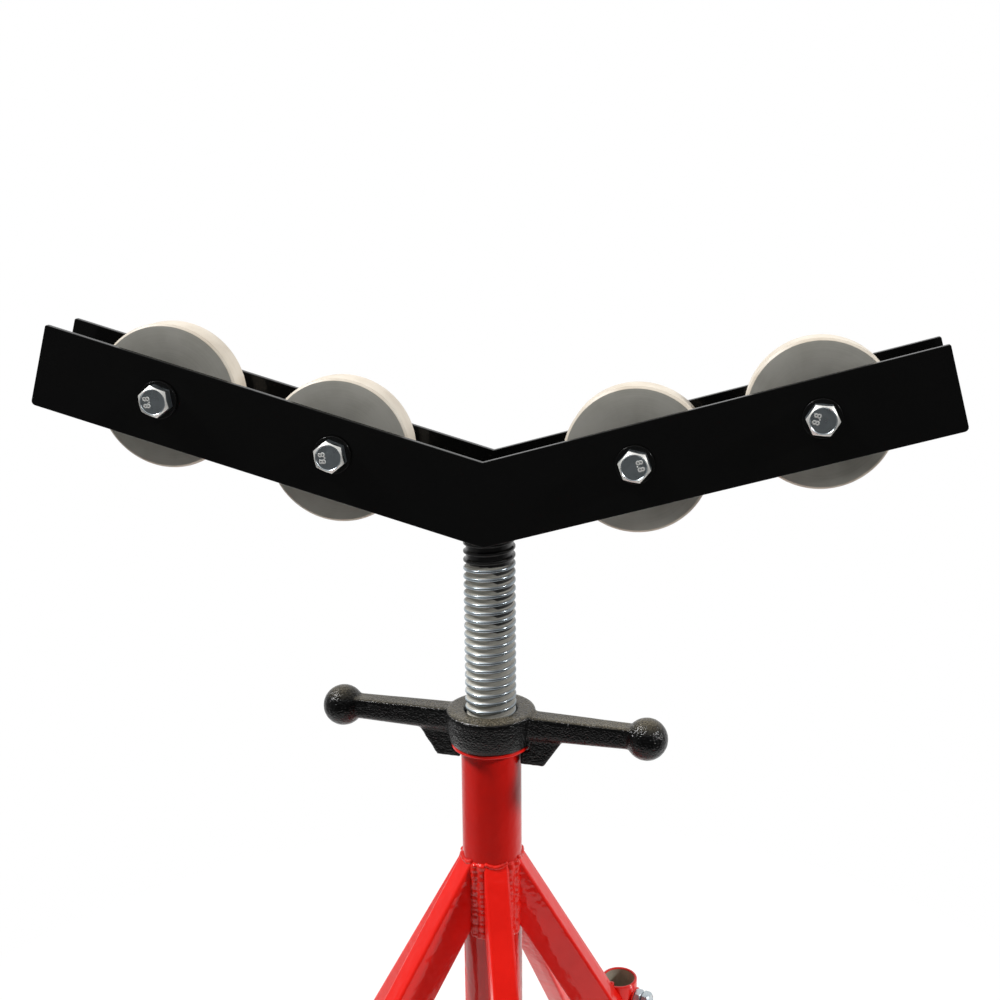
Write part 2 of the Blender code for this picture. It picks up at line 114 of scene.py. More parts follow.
@dataclass
class Graph:
    """A node tree that is being filled."""

    tree: bpy.types.NodeTree

    def add(self, kind: str, inputs: dict | None = None, **settings: object) -> bpy.types.Node:
        """Adds a node with its settings, values and links.

        Args:
            kind: The node's type name.
            inputs: Socket name or index to a value, a socket or a node.
            settings: Properties of the node itself.

        Returns:
            The new node.
        """
        node = self.tree.nodes.new(kind)
        for name, value in settings.items():
            setattr(node, name, value)
        for key, value in (inputs or {}).items():
            if isinstance(value, bpy.types.Node):
                value = value.outputs[0]
            if isinstance(value, bpy.types.NodeSocket):
                self.tree.links.new(value, node.inputs[key])
            else:
                node.inputs[key].default_value = value
        return node


@dataclass(frozen=True)
class Finish:
    """A surface finish, with the record's slot that it belongs to."""

    name: str
    slot: Slot

    def material(self) -> bpy.types.Material:
        """Builds the material, or finds the one already built.

        Returns:
            The material.
        """
        made = bpy.data.materials.get(self.name)
        if made is None:
            made = bpy.data.materials.new(self.name)
            made.use_nodes = True
            made.node_tree.nodes.clear()
            graph = Graph(made.node_tree)
            graph.add("ShaderNodeOutputMaterial", {"Surface": self.shade(graph)})
        return made

    def shade(self, graph: Graph) -> bpy.types.Node:
        """Adds the finish's shader to the graph and returns its node."""
        raise NotImplementedError


@dataclass(frozen=True)
class Enamel(Finish):
    """Sprayed gloss enamel: clear reflections, broken up by orange peel and slow waves."""

    colour: str
    thin: str  # where the coat is thinner or dusty
    patch_mm: float = 60.0
    peel_mm: float = 2.2
    wave_mm: float = 11.0
    wave: float = 0.42
    peel: float = 0.10
    roughness: float = 0.35
    specular: float = 0.12
    coat: float = 0.65
    gloss: float = 0.05

    def shade(self, graph: Graph) -> bpy.types.Node:
        """Adds the finish's shader to the graph.

        Args:
            graph: The material's node tree.

        Returns:
            The shader's node.
        """
        place = graph.add("ShaderNodeTexCoord").outputs["Object"]
        patches = graph.add(
            "ShaderNodeTexNoise",
            {"Vector": place, "Scale": per_metre(self.patch_mm), "Detail": 4.0})
        spread = graph.add(
            "ShaderNodeMapRange", {"Value": patches.outputs[0], "From Min": 0.4, "From Max": 0.75})
        tone = graph.add(
            "ShaderNodeMix",
            {0: spread, 6: linear(self.colour), 7: linear(self.thin)},
            data_type="RGBA",
        )
        waves = graph.add(
            "ShaderNodeTexNoise",
            {"Vector": place, "Scale": per_metre(self.wave_mm), "Detail": 1.0})
        slow = graph.add(
            "ShaderNodeBump",
            {"Height": waves.outputs[0], "Strength": self.wave, "Distance": 0.0012})
        grain = graph.add(
            "ShaderNodeTexNoise",
            {"Vector": place, "Scale": per_metre(self.peel_mm), "Detail": 1.5})
        bump = graph.add(
            "ShaderNodeBump",
            {"Height": grain.outputs[0], "Strength": self.peel, "Distance": 0.00025,
             "Normal": slow})
        return graph.add(
            "ShaderNodeBsdfPrincipled",
            {"Base Color": tone.outputs[2], "Roughness": self.roughness, "Normal": bump,
             "Specular IOR Level": self.specular, "Coat Weight": self.coat,
             "Coat Roughness": self.gloss, "Coat Normal": bump},
        )


@dataclass(frozen=True)
class CastEnamel(Finish):
    """Black paint over a sand casting: a grainy, pitted skin with dust on what faces up."""

    colour: str
    dust: str
    grit_mm: float = 1.7  # coarser than moulding sand, so that it shows
    pit_mm: float = 3.4
    lump_mm: float = 6.0

    def shade(self, graph: Graph) -> bpy.types.Node:
        """Adds the finish's shader to the graph.

        Args:
            graph: The material's node tree.

        Returns:
            The shader's node.
        """
        place = graph.add("ShaderNodeTexCoord").outputs["Object"]
        grit = graph.add(
            "ShaderNodeTexNoise",
            {"Vector": place, "Scale": per_metre(self.grit_mm), "Detail": 1.5})
        lumps = graph.add(
            "ShaderNodeTexNoise",
            {"Vector": place, "Scale": per_metre(self.lump_mm), "Detail": 3.0})
        pits = graph.add(
            "ShaderNodeTexVoronoi", {"Vector": place, "Scale": per_metre(self.pit_mm)})
        pit_depth = graph.add(
            "ShaderNodeMapRange", {"Value": pits.outputs[0], "From Min": 0.0, "From Max": 0.4})
        low = graph.add(
            "ShaderNodeBump",
            {"Height": lumps.outputs[0], "Strength": 0.30, "Distance": 0.0018})
        mid = graph.add(
            "ShaderNodeBump",
            {"Height": pit_depth, "Strength": 0.55, "Distance": 0.0006, "Normal": low})
        bump = graph.add(
            "ShaderNodeBump",
            {"Height": grit.outputs[0], "Strength": 0.90, "Distance": 0.0009, "Normal": mid})
        # Dust lies on what faces up, broken by the grit.
        up = graph.add(
            "ShaderNodeSeparateXYZ", {0: graph.add("ShaderNodeNewGeometry").outputs["Normal"]})
        lies = graph.add(
            "ShaderNodeMapRange", {"Value": up.outputs["Z"], "From Min": 0.55, "From Max": 1.0})
        broken = graph.add(
            "ShaderNodeMapRange",
            {"Value": grit.outputs[0], "From Min": 0.35, "From Max": 0.65, "To Min": 0.15})
        amount = graph.add(
            "ShaderNodeMath", {0: lies, 1: broken}, operation="MULTIPLY")
        tone = graph.add(
            "ShaderNodeMix",
            {0: amount, 6: linear(self.colour), 7: linear(self.dust)},
            data_type="RGBA",
        )
        rough = graph.add(
            "ShaderNodeMapRange", {"Value": amount, "To Min": 0.08, "To Max": 0.32})
        return graph.add(
            "ShaderNodeBsdfPrincipled",
            {"Base Color": tone.outputs[2], "Roughness": rough, "Specular IOR Level": 0.28,
             "Normal": bump},
        )


@dataclass(frozen=True)
class PlatedSteel(Finish):
    """Bright zinc plate: a cool mirror, clouded in patches."""

    colour: str
    cloud: str
    rough_low: float = 0.16
    rough_high: float = 0.34
    patch_mm: float = 14.0
    grain_mm: float = 1.6  # coarser than the real crystals, so that it shows
    grain: float = 0.12
    metal: float = 1.0

    def shade(self, graph: Graph) -> bpy.types.Node:
        """Adds the finish's shader to the graph.

        Args:
            graph: The material's node tree.

        Returns:
            The shader's node.
        """
        place = graph.add("ShaderNodeTexCoord").outputs["Object"]
        patches = graph.add(
            "ShaderNodeTexNoise",
            {"Vector": place, "Scale": per_metre(self.patch_mm), "Detail": 5.0})
        tone = graph.add(
            "ShaderNodeMix",
            {0: patches.outputs[0], 6: linear(self.colour), 7: linear(self.cloud)},
            data_type="RGBA",
        )
        rough = graph.add(
            "ShaderNodeMapRange",
            {"Value": patches.outputs[0], "From Min": 0.3, "From Max": 0.7,
             "To Min": self.rough_low, "To Max": self.rough_high})
        grain = graph.add(
            "ShaderNodeTexNoise", {"Vector": place, "Scale": per_metre(self.grain_mm), "Detail": 2.0})
        bump = graph.add(
            "ShaderNodeBump",
            {"Height": grain.outputs[0], "Strength": self.grain, "Distance": 0.0001})
        return graph.add(
            "ShaderNodeBsdfPrincipled",
            {"Base Color": tone.outputs[2], "Metallic": self.metal, "Roughness": rough,
             "Normal": bump},
        )


@dataclass(frozen=True)
class RolledThread(Finish):
    """Zinc on a rolled thread: crests rubbed to a cool mirror over matt, warmer grooves.

    Black overspray from the head lies under the crests on one side and thins out downwards.
    A weaker black over that side at every height is painted shade.
    """

    crest: str
    groove: str
    # black of the overspray, also used for the painted shade on that side
    spray_and_shade_colour: str
    radius: float
    depth: float
    pitch: float
    low: float  # height of the thread's start
    rubbed: Point = (0.3, 0.9)  # from matt to bright, as shares of the depth over the root
    # the side that the overspray and the painted shade lie on
    spray_and_shade_toward: Corner = (0.875, -0.485, 0.0)
    spray_heights: Point = (0.655, 0.700)  # none below, full above
    spray_sides: Point = (0.60, 0.76)  # from none to full, as shares of the radius
    spray_width: float = 0.24  # half a streak's width, as a share of the pitch
    spray_edge: float = 0.88  # a streak's upper edge, as a share of the pitch above the crest
    # painted shade down that side at every height: from none to full, as shares of the radius, and
    # its strength at full
    painted_shade_sides: Point = (0.42, 0.78)
    painted_side_shade: float = 0.5

    def shade(self, graph: Graph) -> bpy.types.Node:
        """Adds the finish's shader to the graph.

        Args:
            graph: The material's node tree.

        Returns:
            The shader's node.
        """
        place = graph.add("ShaderNodeTexCoord").outputs["Object"]
        at = graph.add("ShaderNodeSeparateXYZ", {0: place}).outputs
        flat = graph.add(
            "ShaderNodeVectorMath", {0: place, 1: (1.0, 1.0, 0.0)}, operation="MULTIPLY")
        reach = graph.add("ShaderNodeVectorMath", {0: flat}, operation="LENGTH")
        root = self.radius - self.depth
        rubbed = graph.add(
            "ShaderNodeMapRange",
            {"Value": reach.outputs["Value"], "From Min": root + self.rubbed[0] * self.depth,
             "From Max": root + self.rubbed[1] * self.depth})
        # Share of the pitch above the crest, which climbs with the angle.
        around = graph.add("ShaderNodeMath", {0: at["Y"], 1: at["X"]}, operation="ARCTAN2")
        climb = graph.add(
            "ShaderNodeMath", {0: around, 1: -0.5 / math.pi, 2: -self.low / self.pitch},
            operation="MULTIPLY_ADD")
        share = graph.add(
            "ShaderNodeMath",
            {0: graph.add("ShaderNodeMath", {0: at["Z"], 1: 1 / self.pitch, 2: climb},
                          operation="MULTIPLY_ADD")}, operation="FRACT")
        aside = graph.add(
            "ShaderNodeVectorMath", {0: place, 1: self.spray_and_shade_toward}, operation="DOT_PRODUCT")
        side = graph.add(
            "ShaderNodeMapRange",
            {"Value": aside.outputs["Value"], "From Min": self.spray_sides[0] * self.radius,
             "From Max": self.spray_sides[1] * self.radius, "To Max": self.spray_width})
        blown = graph.add(
            "ShaderNodeMapRange",
            {"Value": at["Z"], "From Min": self.spray_heights[0],
             "From Max": self.spray_heights[1]})
        width = graph.add("ShaderNodeMath", {0: side, 1: blown}, operation="MULTIPLY")
        middle = graph.add(
            "ShaderNodeMath", {0: self.spray_edge, 1: width}, operation="SUBTRACT")
        sprayed = graph.add(
            "ShaderNodeMath", {0: share, 1: middle, 2: width}, operation="COMPARE")
        # Painted shade: the same black, half strength at most, darkens that side at every height.
        painted_side_shade = graph.add(
            "ShaderNodeMapRange",
            {"Value": aside.outputs["Value"], "From Min": self.painted_shade_sides[0] * self.radius,
             "From Max": self.painted_shade_sides[1] * self.radius, "To Max": self.painted_side_shade})
        spray_and_painted_shade = graph.add("ShaderNodeMath", {0: sprayed, 1: painted_side_shade}, operation="MAXIMUM")
        tone = graph.add(
            "ShaderNodeMix", {0: rubbed, 6: linear(self.groove), 7: linear(self.crest)},
            data_type="RGBA")
        tone = graph.add(
            "ShaderNodeMix", {0: spray_and_painted_shade, 6: tone.outputs[2], 7: linear(self.spray_and_shade_colour)},
            data_type="RGBA")
        bare = graph.add("ShaderNodeMath", {0: 1.0, 1: sprayed}, operation="SUBTRACT")
        metal = graph.add(
            "ShaderNodeMath",
            {0: graph.add("ShaderNodeMapRange", {"Value": rubbed, "To Min": 0.15, "To Max": 0.85}),
             1: bare}, operation="MULTIPLY")
        rough = graph.add(
            "ShaderNodeMapRange", {"Value": rubbed, "To Min": 0.55, "To Max": 0.24})
        return graph.add(
            "ShaderNodeBsdfPrincipled",
            {"Base Color": tone.outputs[2], "Metallic": metal, "Roughness": rough})


@dataclass(frozen=True)
class TurnedSurface(Finish):
    """A face or tread cut on the lathe: fine rings that follow the piece's own UV map."""

    colour: str
    worn: str
    ring_mm: float = 0.7  # coarser than a real feed, so that it shows
    uneven: float = 3.0  # times that a ring's tone changes in a turn
    smear_mm: float = 22.0
    metallic: float = 0.0
    roughness: float = 0.5
    ring: float = 0.15

    def shade(self, graph: Graph) -> bpy.types.Node:
        """Adds the finish's shader to the graph.

        Args:
            graph: The material's node tree.

        Returns:
            The shader's node.
        """
        place = graph.add("ShaderNodeTexCoord").outputs["Object"]
        around = graph.add("ShaderNodeUVMap", uv_map=UV_NAME)
        stretch = graph.add(
            "ShaderNodeVectorMath",
            {0: around, 1: (per_metre(self.ring_mm), self.uneven, 1.0)},
            operation="MULTIPLY",
        )
        rings = graph.add(
            "ShaderNodeTexNoise", {"Vector": stretch, "Scale": 1.0, "Detail": 2.0})
        smears = graph.add(
            "ShaderNodeTexNoise",
            {"Vector": place, "Scale": per_metre(self.smear_mm), "Detail": 5.0})
        mixed = graph.add(
            "ShaderNodeMix", {0: 0.35, 2: smears.outputs[0], 3: rings.outputs[0]})
        wear = graph.add(
            "ShaderNodeMapRange", {"Value": mixed.outputs[0], "From Min": 0.42, "From Max": 0.68})
        tone = graph.add(
            "ShaderNodeMix",
            {0: wear, 6: linear(self.colour), 7: linear(self.worn)},
            data_type="RGBA",
        )
        bump = graph.add(
            "ShaderNodeBump",
            {"Height": rings.outputs[0], "Strength": self.ring, "Distance": 0.0002})
        return graph.add(
            "ShaderNodeBsdfPrincipled",
            {"Base Color": tone.outputs[2], "Metallic": self.metallic,
             "Roughness": self.roughness, "Normal": bump},
        )


# Gloss enamel sprayed on welded tube: a deep orange red with wet, slightly wavy reflections.
RED_ENAMEL = Enamel("gloss_red_enamel", Slot.RED, "#EC1B10", "#DE160C")
# The same enamel, a shade darker on the column's pipe: painted shade for its upright, front-facing
# side.
SHADED_COLUMN_ENAMEL = Enamel("red_enamel_darkened_as_column_shade", Slot.RED, "#CC150B", "#C0110A")
# The same enamel over weld ripples and spatter: many small, broken lights.
WELD_ENAMEL = Enamel(
    "red_enamel_over_weld", Slot.RED, "#DE1D11", "#C6170C", peel_mm=2.6, peel=0.3)
# Gloss enamel on flat plate: near black, smooth, with only faint reflections.
BLACK_ENAMEL = Enamel(
    "gloss_black_enamel", Slot.BLACK, "#070707", "#0A0A09", wave=0.12, coat=0.35)
# Black enamel over weld ripples, which catch small lights in the shade between the plates.
BLACK_WELD = Enamel("black_enamel_over_weld", Slot.BLACK, "#0D0D0D", "#121211", peel=0.4)
# Black enamel sprayed over zinc on the thread's top turns: wet lights along the crests.
PAINTED_THREAD = Enamel("black_enamel_over_thread", Slot.ZINC, "#0D0D0D", "#131312", peel=0.3)
# Black paint on sand-cast iron: a grainy skin that glints, dulled by pale dust on its tops.
CAST_BLACK = CastEnamel("black_paint_over_casting", Slot.CAST, "#060606", "#6A6353")
# Zinc plate on turned steel: a cool mirror with faint clouds.
BRIGHT_ZINC = PlatedSteel("bright_zinc_plate", Slot.ZINC, "#D3D8DA", "#B2BABD")
# Blue-passivated zinc on forged heads and nuts: a cooler, more matt mirror.
BLUE_ZINC = PlatedSteel("blue_zinc_plate", Slot.ZINC, "#CFD8DC", "#B0BAC0", 0.24, 0.40, 6.0)
# Raised figures painted a pale, matt white as a painted highlight, so that they read pale on the
# darker face.
FIGURES_PAINTED_PALE = PlatedSteel(
    "zinc_figures_painted_pale_as_highlight", Slot.ZINC, "#F6F6F2", "#E8E9E6", 0.5, 0.65, metal=0.3)
# A bolt head's turned chamfer: a bright, satin rim round the face, painted near white as a reflection
# of white surroundings.
RIM_PAINTED_REFLECTION = PlatedSteel(
    "chamfer_painted_white_reflection", Slot.ZINC, "#F4F3EE", "#E6E6E2", 0.34, 0.46, metal=0.5)
# Drawn steel without paint, dusted with overspray: a warm, dull grey.
BARE_BORE = PlatedSteel(
    "bare_steel_bore", Slot.RED, "#CDC7B6", "#98917F", 0.45, 0.7, 9.0, metal=0.6)
# Cast nylon faced on a lathe: an even, satin grey with faint rings.
WHEEL_FACE = TurnedSurface("turned_nylon_face", Slot.NYLON, "#CECCC3", "#BEBCB2", roughness=0.55)
# Cast nylon of the tread, where pipes roll: cream with worn stripes, lighter and warmer than the
# faces, which is partly painted light.
WHEEL_TREAD_PAINTED_LIGHTER = TurnedSurface("nylon_tread_painted_lighter", Slot.NYLON, "#E2D8C8", "#CFC2AF", roughness=0.45)
# Hardened steel, ground: a clean mirror with fine rings.
GROUND_STEEL = TurnedSurface(
    "ground_bearing_steel", Slot.STEEL, "#B9BBBC", "#9B9EA0", metallic=1.0, roughness=0.25)
# Moulded nylon of the lock nuts' rings: a pale, matt blue.
LOCKING_NYLON = TurnedSurface("locking_ring_nylon", Slot.ZINC, "#DCE3E8", "#C5CED6")


class Bench:
    """Makes meshes and turns them into pieces of the scene."""

    @staticmethod
    def softened(corners: Sequence[Corner], steps: int = 4) -> list[Point]:
        """Rounds the corners of a closed outline.

        Args:
            corners: Two coordinates and a radius for each corner.
            steps: Facets in each arc.

        Returns:
            The outline's points, in the same order.
        """
        outline: list[Point] = []
        count = len(corners)
        for i, (x, y, radius) in enumerate(corners):
            here = Vector((x, y))
            back = (Vector(corners[i - 1][:2]) - here).normalized()
            ahead = (Vector(corners[(i + 1) % count][:2]) - here).normalized()
            if radius <= 0:
                outline.append((x, y))
                continue
            half = back.angle(ahead) / 2
            middle = here + (back + ahead).normalized() * radius / math.sin(half)
            start = here + back * radius / math.tan(half) - middle
            end = here + ahead * radius / math.tan(half) - middle
            sweep = start.angle_signed(end)
            for step in range(steps + 1):
                point = middle + Matrix.Rotation(-sweep * step / steps, 2) @ start
                outline.append((point.x, point.y))
        return outline

    @staticmethod
    def turned(profile: Sequence[Point], steps: int, place: Matrix) -> bpy.types.Mesh:
        """Turns a closed profile round local Z, with a UV map along and round it.

        Args:
            profile: Radius and height of each point, in order round the section. A radius of
                zero makes a pole.
            steps: Facets round the axis.
            place: Where the mesh goes.

        Returns:
            The closed mesh, in world coordinates.
        """
        work = bmesh.new()
        uv = work.loops.layers.uv.new(UV_NAME)
        turns = [2 * math.pi * step / steps for step in range(steps)]
        rings = []
        for radius, height in profile:
            if radius < NIL:
                rings.append([work.verts.new((0, 0, height))] * steps)
            else:
                rings.append([work.verts.new((radius * math.cos(a), radius * math.sin(a), height))
                              for a in turns])
        along = 0.0
        for i, ring in enumerate(rings):
            j = (i + 1) % len(rings)
            span = math.dist(profile[i], profile[j])
            if max(profile[i][0], profile[j][0]) < NIL:
                continue
            for step in range(steps):
                after = (step + 1) % steps
                around = [(ring[step], along, step), (rings[j][step], along + span, step),
                          (rings[j][after], along + span, step + 1), (ring[after], along, step + 1)]
                seen: dict = {}
                for vert, u, turn in around:
                    seen.setdefault(vert, (u, turn / steps))
                face = work.faces.new(list(seen))
                for loop in face.loops:
                    loop[uv].uv = seen[loop.vert]
            along += span
        bmesh.ops.recalc_face_normals(work, faces=work.faces)
        return Bench.mesh_from(work, place)

    @staticmethod
    def rod(radius: float, low: float, high: float, place: Matrix,
            steps: int) -> bpy.types.Mesh:
        """Turns a plain rod round local Z.

        Args:
            radius: Its radius.
            low: Where it starts on local Z.
            high: Where it ends.
            place: Where the mesh goes.
            steps: Facets round the axis.

        Returns:
            The closed mesh, in world coordinates.
        """
        profile = [(0, high), (radius, high), (radius, low), (0, low)]
        return Bench.turned(profile, steps, place)

    @staticmethod
    def sleeve(outer: float, bore: float, low: float, high: float, place: Matrix,
               easings: Sequence[float], steps: int, arc: int = 4) -> bpy.types.Mesh:
        """Turns a sleeve round local Z, with its edges eased.

        Args:
            outer: Its outer radius.
            bore: Its inner radius.
            low: Where it starts on local Z.
            high: Where it ends.
            place: Where the mesh goes.
            easings: Radii of the outer edge at high and low, and of the bore's at low and high.
            steps: Facets round the axis.
            arc: Facets across each easing.

        Returns:
            The closed mesh, in world coordinates.
        """
        ends = ((outer, high), (outer, low), (bore, low), (bore, high))
        section = [(*end, easing) for end, easing in zip(ends, easings)]
        return Bench.turned(Bench.softened(section, arc), steps, place)

    @staticmethod
    def mesh_from(work: bmesh.types.BMesh, place: Matrix) -> bpy.types.Mesh:
        """Turns a BMesh into a mesh at its place, smooth up to its sharp edges.

        Args:
            work: The BMesh, which is freed.
            place: Where the mesh goes.

        Returns:
            The mesh, in world coordinates.
        """
        mesh = bpy.data.meshes.new("piece")
        work.to_mesh(mesh)
        work.free()
        mesh.transform(place)
        mesh.shade_smooth()
        mesh.set_sharp_from_angle(angle=CREASE)
        return mesh

    @staticmethod
    def prism(outline: Sequence[Point], low: float, high: float, place: Matrix,
              inner: Sequence[Point] | None = None) -> bpy.types.Mesh:
        """Extrudes an outline along local Z, as a bar or, with an inner outline, a tube.

        Args:
            outline: The outer outline.
            low: Where it starts on local Z.
            high: Where it ends.
            place: Where the mesh goes.
            inner: The bore's outline, with as many points as the outer one.

        Returns:
            The closed mesh, in world coordinates.
        """
        work = bmesh.new()
        loops = [outline, inner] if inner else [outline]
        rings = [[work.verts.new((x, y, z)) for x, y in loop] for loop in loops
                 for z in (low, high)]
        count = len(outline)
        for bottom, top in zip(rings[0::2], rings[1::2]):
            for i in range(count):
                j = (i + 1) % count
                work.faces.new([bottom[i], bottom[j], top[j], top[i]])
        if inner:
            for outer_ring, inner_ring in ((rings[0], rings[2]), (rings[1], rings[3])):
                for i in range(count):
                    j = (i + 1) % count
                    work.faces.new([outer_ring[i], outer_ring[j], inner_ring[j], inner_ring[i]])
        else:
            work.faces.new(rings[0])
            work.faces.new(rings[1])
        bmesh.ops.recalc_face_normals(work, faces=work.faces)
        return Bench.mesh_from(work, place)

    @staticmethod
    def evaluated(made: bpy.types.Object) -> bpy.types.Mesh:
        """Makes an object's modifiers real and removes the object.

        Args:
            made: The object.

        Returns:
            Its mesh, as the modifiers leave it.
        """
        bpy.context.view_layer.update()
        graph = bpy.context.evaluated_depsgraph_get()
        mesh = bpy.data.meshes.new_from_object(made.evaluated_get(graph))
        bpy.data.objects.remove(made)
        return mesh

    @staticmethod
    def linked(name: str, data: bpy.types.ID) -> bpy.types.Object:
        """Adds an object to the scene.

        Args:
            name: The object's name.
            data: Its mesh, curve, lamp or camera.

        Returns:
            The object, at the origin.
        """
        made = bpy.data.objects.new(name, data)
        bpy.context.scene.collection.objects.link(made)
        return made

    @staticmethod
    def cut(mesh: bpy.types.Mesh, operation: str, *others: bpy.types.Mesh) -> bpy.types.Mesh:
        """Applies one Boolean after another.

        Args:
            mesh: What is cut.
            operation: DIFFERENCE, INTERSECT or UNION.
            others: The meshes to cut with, in order.

        Returns:
            The resulting mesh.
        """
        made = Bench.linked("cut", mesh)
        tools = [Bench.linked(f"cutter_{i}", other) for i, other in enumerate(others)]
        for tool in tools:
            change = made.modifiers.new(tool.name, "BOOLEAN")
            change.operation = operation
            change.object = tool
            change.solver = "EXACT"
        result = Bench.evaluated(made)
        for tool in tools:
            bpy.data.objects.remove(tool)
        result.shade_smooth()
        result.set_sharp_from_angle(angle=CREASE)
        return result

    @staticmethod
    def merged(node: str) -> bmesh.types.BMesh:
        """Joins a copy of a CAD node's loose triangles, with its flat faces whole.

        Args:
            node: The CAD node.

        Returns:
            The copy, in world coordinates.
        """
        work = bmesh.new()
        work.from_mesh(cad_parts[node].data)
        bmesh.ops.remove_doubles(work, verts=work.verts, dist=SAME_PLACE)
        bmesh.ops.dissolve_limit(
            work, angle_limit=FLAT, verts=work.verts, edges=work.edges)
        return work

    @staticmethod
    def eased(node: str, radius: float, segments: int = 2) -> bpy.types.Mesh:
        """Copies a CAD node with its sharp edges rounded, and its flats shaded flat.

        Args:
            node: The CAD node.
            radius: Width of the rounding.
            segments: Facets across it.

        Returns:
            The mesh, in world coordinates.
        """
        work = Bench.merged(node)
        sharp = [e for e in work.edges if len(e.link_faces) == 2
                 and e.calc_face_angle(0) > CORNER]
        bmesh.ops.bevel(work, geom=sharp, offset=radius, segments=segments, profile=0.5,
                        affect="EDGES", clamp_overlap=True)
        made = Bench.linked("eased", Bench.mesh_from(work, Matrix.Identity(4)))
        made.data.set_sharp_from_angle(angle=OPEN_CORNER)
        made.modifiers.new("flats", "WEIGHTED_NORMAL").keep_sharp = True
        return Bench.evaluated(made)

    @staticmethod
    def melted(mesh: bpy.types.Mesh, voxel: float, rounds: int) -> bpy.types.Mesh:
        """Fuses what overlaps into one skin and softens it.

        Args:
            mesh: Closed shells.
            voxel: Size of the new skin's faces.
            rounds: How often it is smoothed.

        Returns:
            The new mesh.
        """
        made = Bench.linked("melted", mesh)
        remesh = made.modifiers.new("skin", "REMESH")
        remesh.mode = "VOXEL"
        remesh.voxel_size = voxel
        remesh.use_smooth_shade = True
        smooth = made.modifiers.new("fillets", "SMOOTH")
        smooth.factor = 0.5
        smooth.iterations = rounds
        result = Bench.evaluated(made)
        result.shade_smooth()
        return result

    @staticmethod
    def joined(meshes: Iterable[bpy.types.Mesh]) -> bpy.types.Mesh:
        """Joins meshes into one, with their sharp edges and material numbers.

        Args:
            meshes: The meshes, in the order that their faces take.

        Returns:
            The new mesh.
        """
        work = bmesh.new()
        for mesh in meshes:
            work.from_mesh(mesh)
        mesh = bpy.data.meshes.new("piece")
        work.to_mesh(mesh)
        work.free()
        return mesh

    @staticmethod
    def piece(name: str, mesh: bpy.types.Mesh, body: Body, finishes: Sequence[Finish],
              *nodes: str) -> bpy.types.Object:
        """Puts a finished mesh into the scene.

        Args:
            name: The piece's name.
            mesh: Its mesh, in world coordinates.
            body: The body that it moves with.
            finishes: A finish for each material number of its faces.
            nodes: CAD nodes that it stands for.

        Returns:
            The piece's object, at the origin.
        """
        mesh.name = name
        for number, finish in enumerate(finishes):
            if number < len(mesh.materials):
                mesh.materials[number] = finish.material()
            else:
                mesh.materials.append(finish.material())
        made = Bench.linked(name, mesh)
        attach(made, body.value)
        if nodes:
            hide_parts(*nodes)
        LOG.info("%s: %d faces on %s", name, len(mesh.polygons), body.value)
        return made


@dataclass
class Span:
    """A CAD node's box at rest."""

    low: Vector
    high: Vector

    @classmethod
    def of(cls, node: str) -> "Span":
        """Measures a CAD node."""
        return cls(*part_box(node))

    @property
    def centre(self) -> Vector:
        """Middle of the box."""
        return (self.low + self.high) / 2

    @property
    def size(self) -> Vector:
        """Extents of the box."""
        return self.high - self.low


def moved(x: float = 0.0, y: float = 0.0, z: float = 0.0) -> Matrix:
    """A plain shift."""
    return Matrix.Translation((x, y, z))


def turn(axis: str, degrees: float) -> Matrix:
    """A rotation about a named axis."""
    return Matrix.Rotation(math.radians(degrees), 4, axis)


class GeometryTree:
    """A Geometry Nodes tree with named inputs, used through a modifier."""

    name = "tree"

    def __init__(self) -> None:
        """Builds the tree with its sockets."""
        self.tree = bpy.data.node_groups.new(self.name, "GeometryNodeTree")
        self.graph = Graph(self.tree)
        self.identifiers: dict[str, str] = {}
        self.socket("Geometry", "Geometry")
        self.socket("Material", "Material")
        self.tree.interface.new_socket(
            name="Geometry", in_out="OUTPUT", socket_type="NodeSocketGeometry")

    def socket(self, name: str, kind: str) -> None:
        """Adds a named input and notes its identifier.

        Args:
            name: The input's name.
            kind: What it takes, as in the socket type's name.
        """
        made = self.tree.interface.new_socket(
            name=name, in_out="INPUT", socket_type=f"NodeSocket{kind}")
        self.identifiers[name] = made.identifier

    def applied(self, guide: bpy.types.ID, material: bpy.types.Material,
                **values: float) -> bpy.types.Mesh:
        """Runs the tree on a guide and returns the plain mesh.

        Args:
            guide: A mesh or curve that the tree reads.
            material: What the result is made of.
            values: The tree's other inputs, in small letters and with underscores for spaces.

        Returns:
            The realized mesh.
        """
        made = Bench.linked(self.name, guide)
        modifier = made.modifiers.new(self.name, "NODES")
        modifier.node_group = self.tree
        modifier[self.identifiers["Material"]] = material
        for name, value in values.items():
            modifier[self.identifiers[name.replace("_", " ").title()]] = value
        return Bench.evaluated(made)


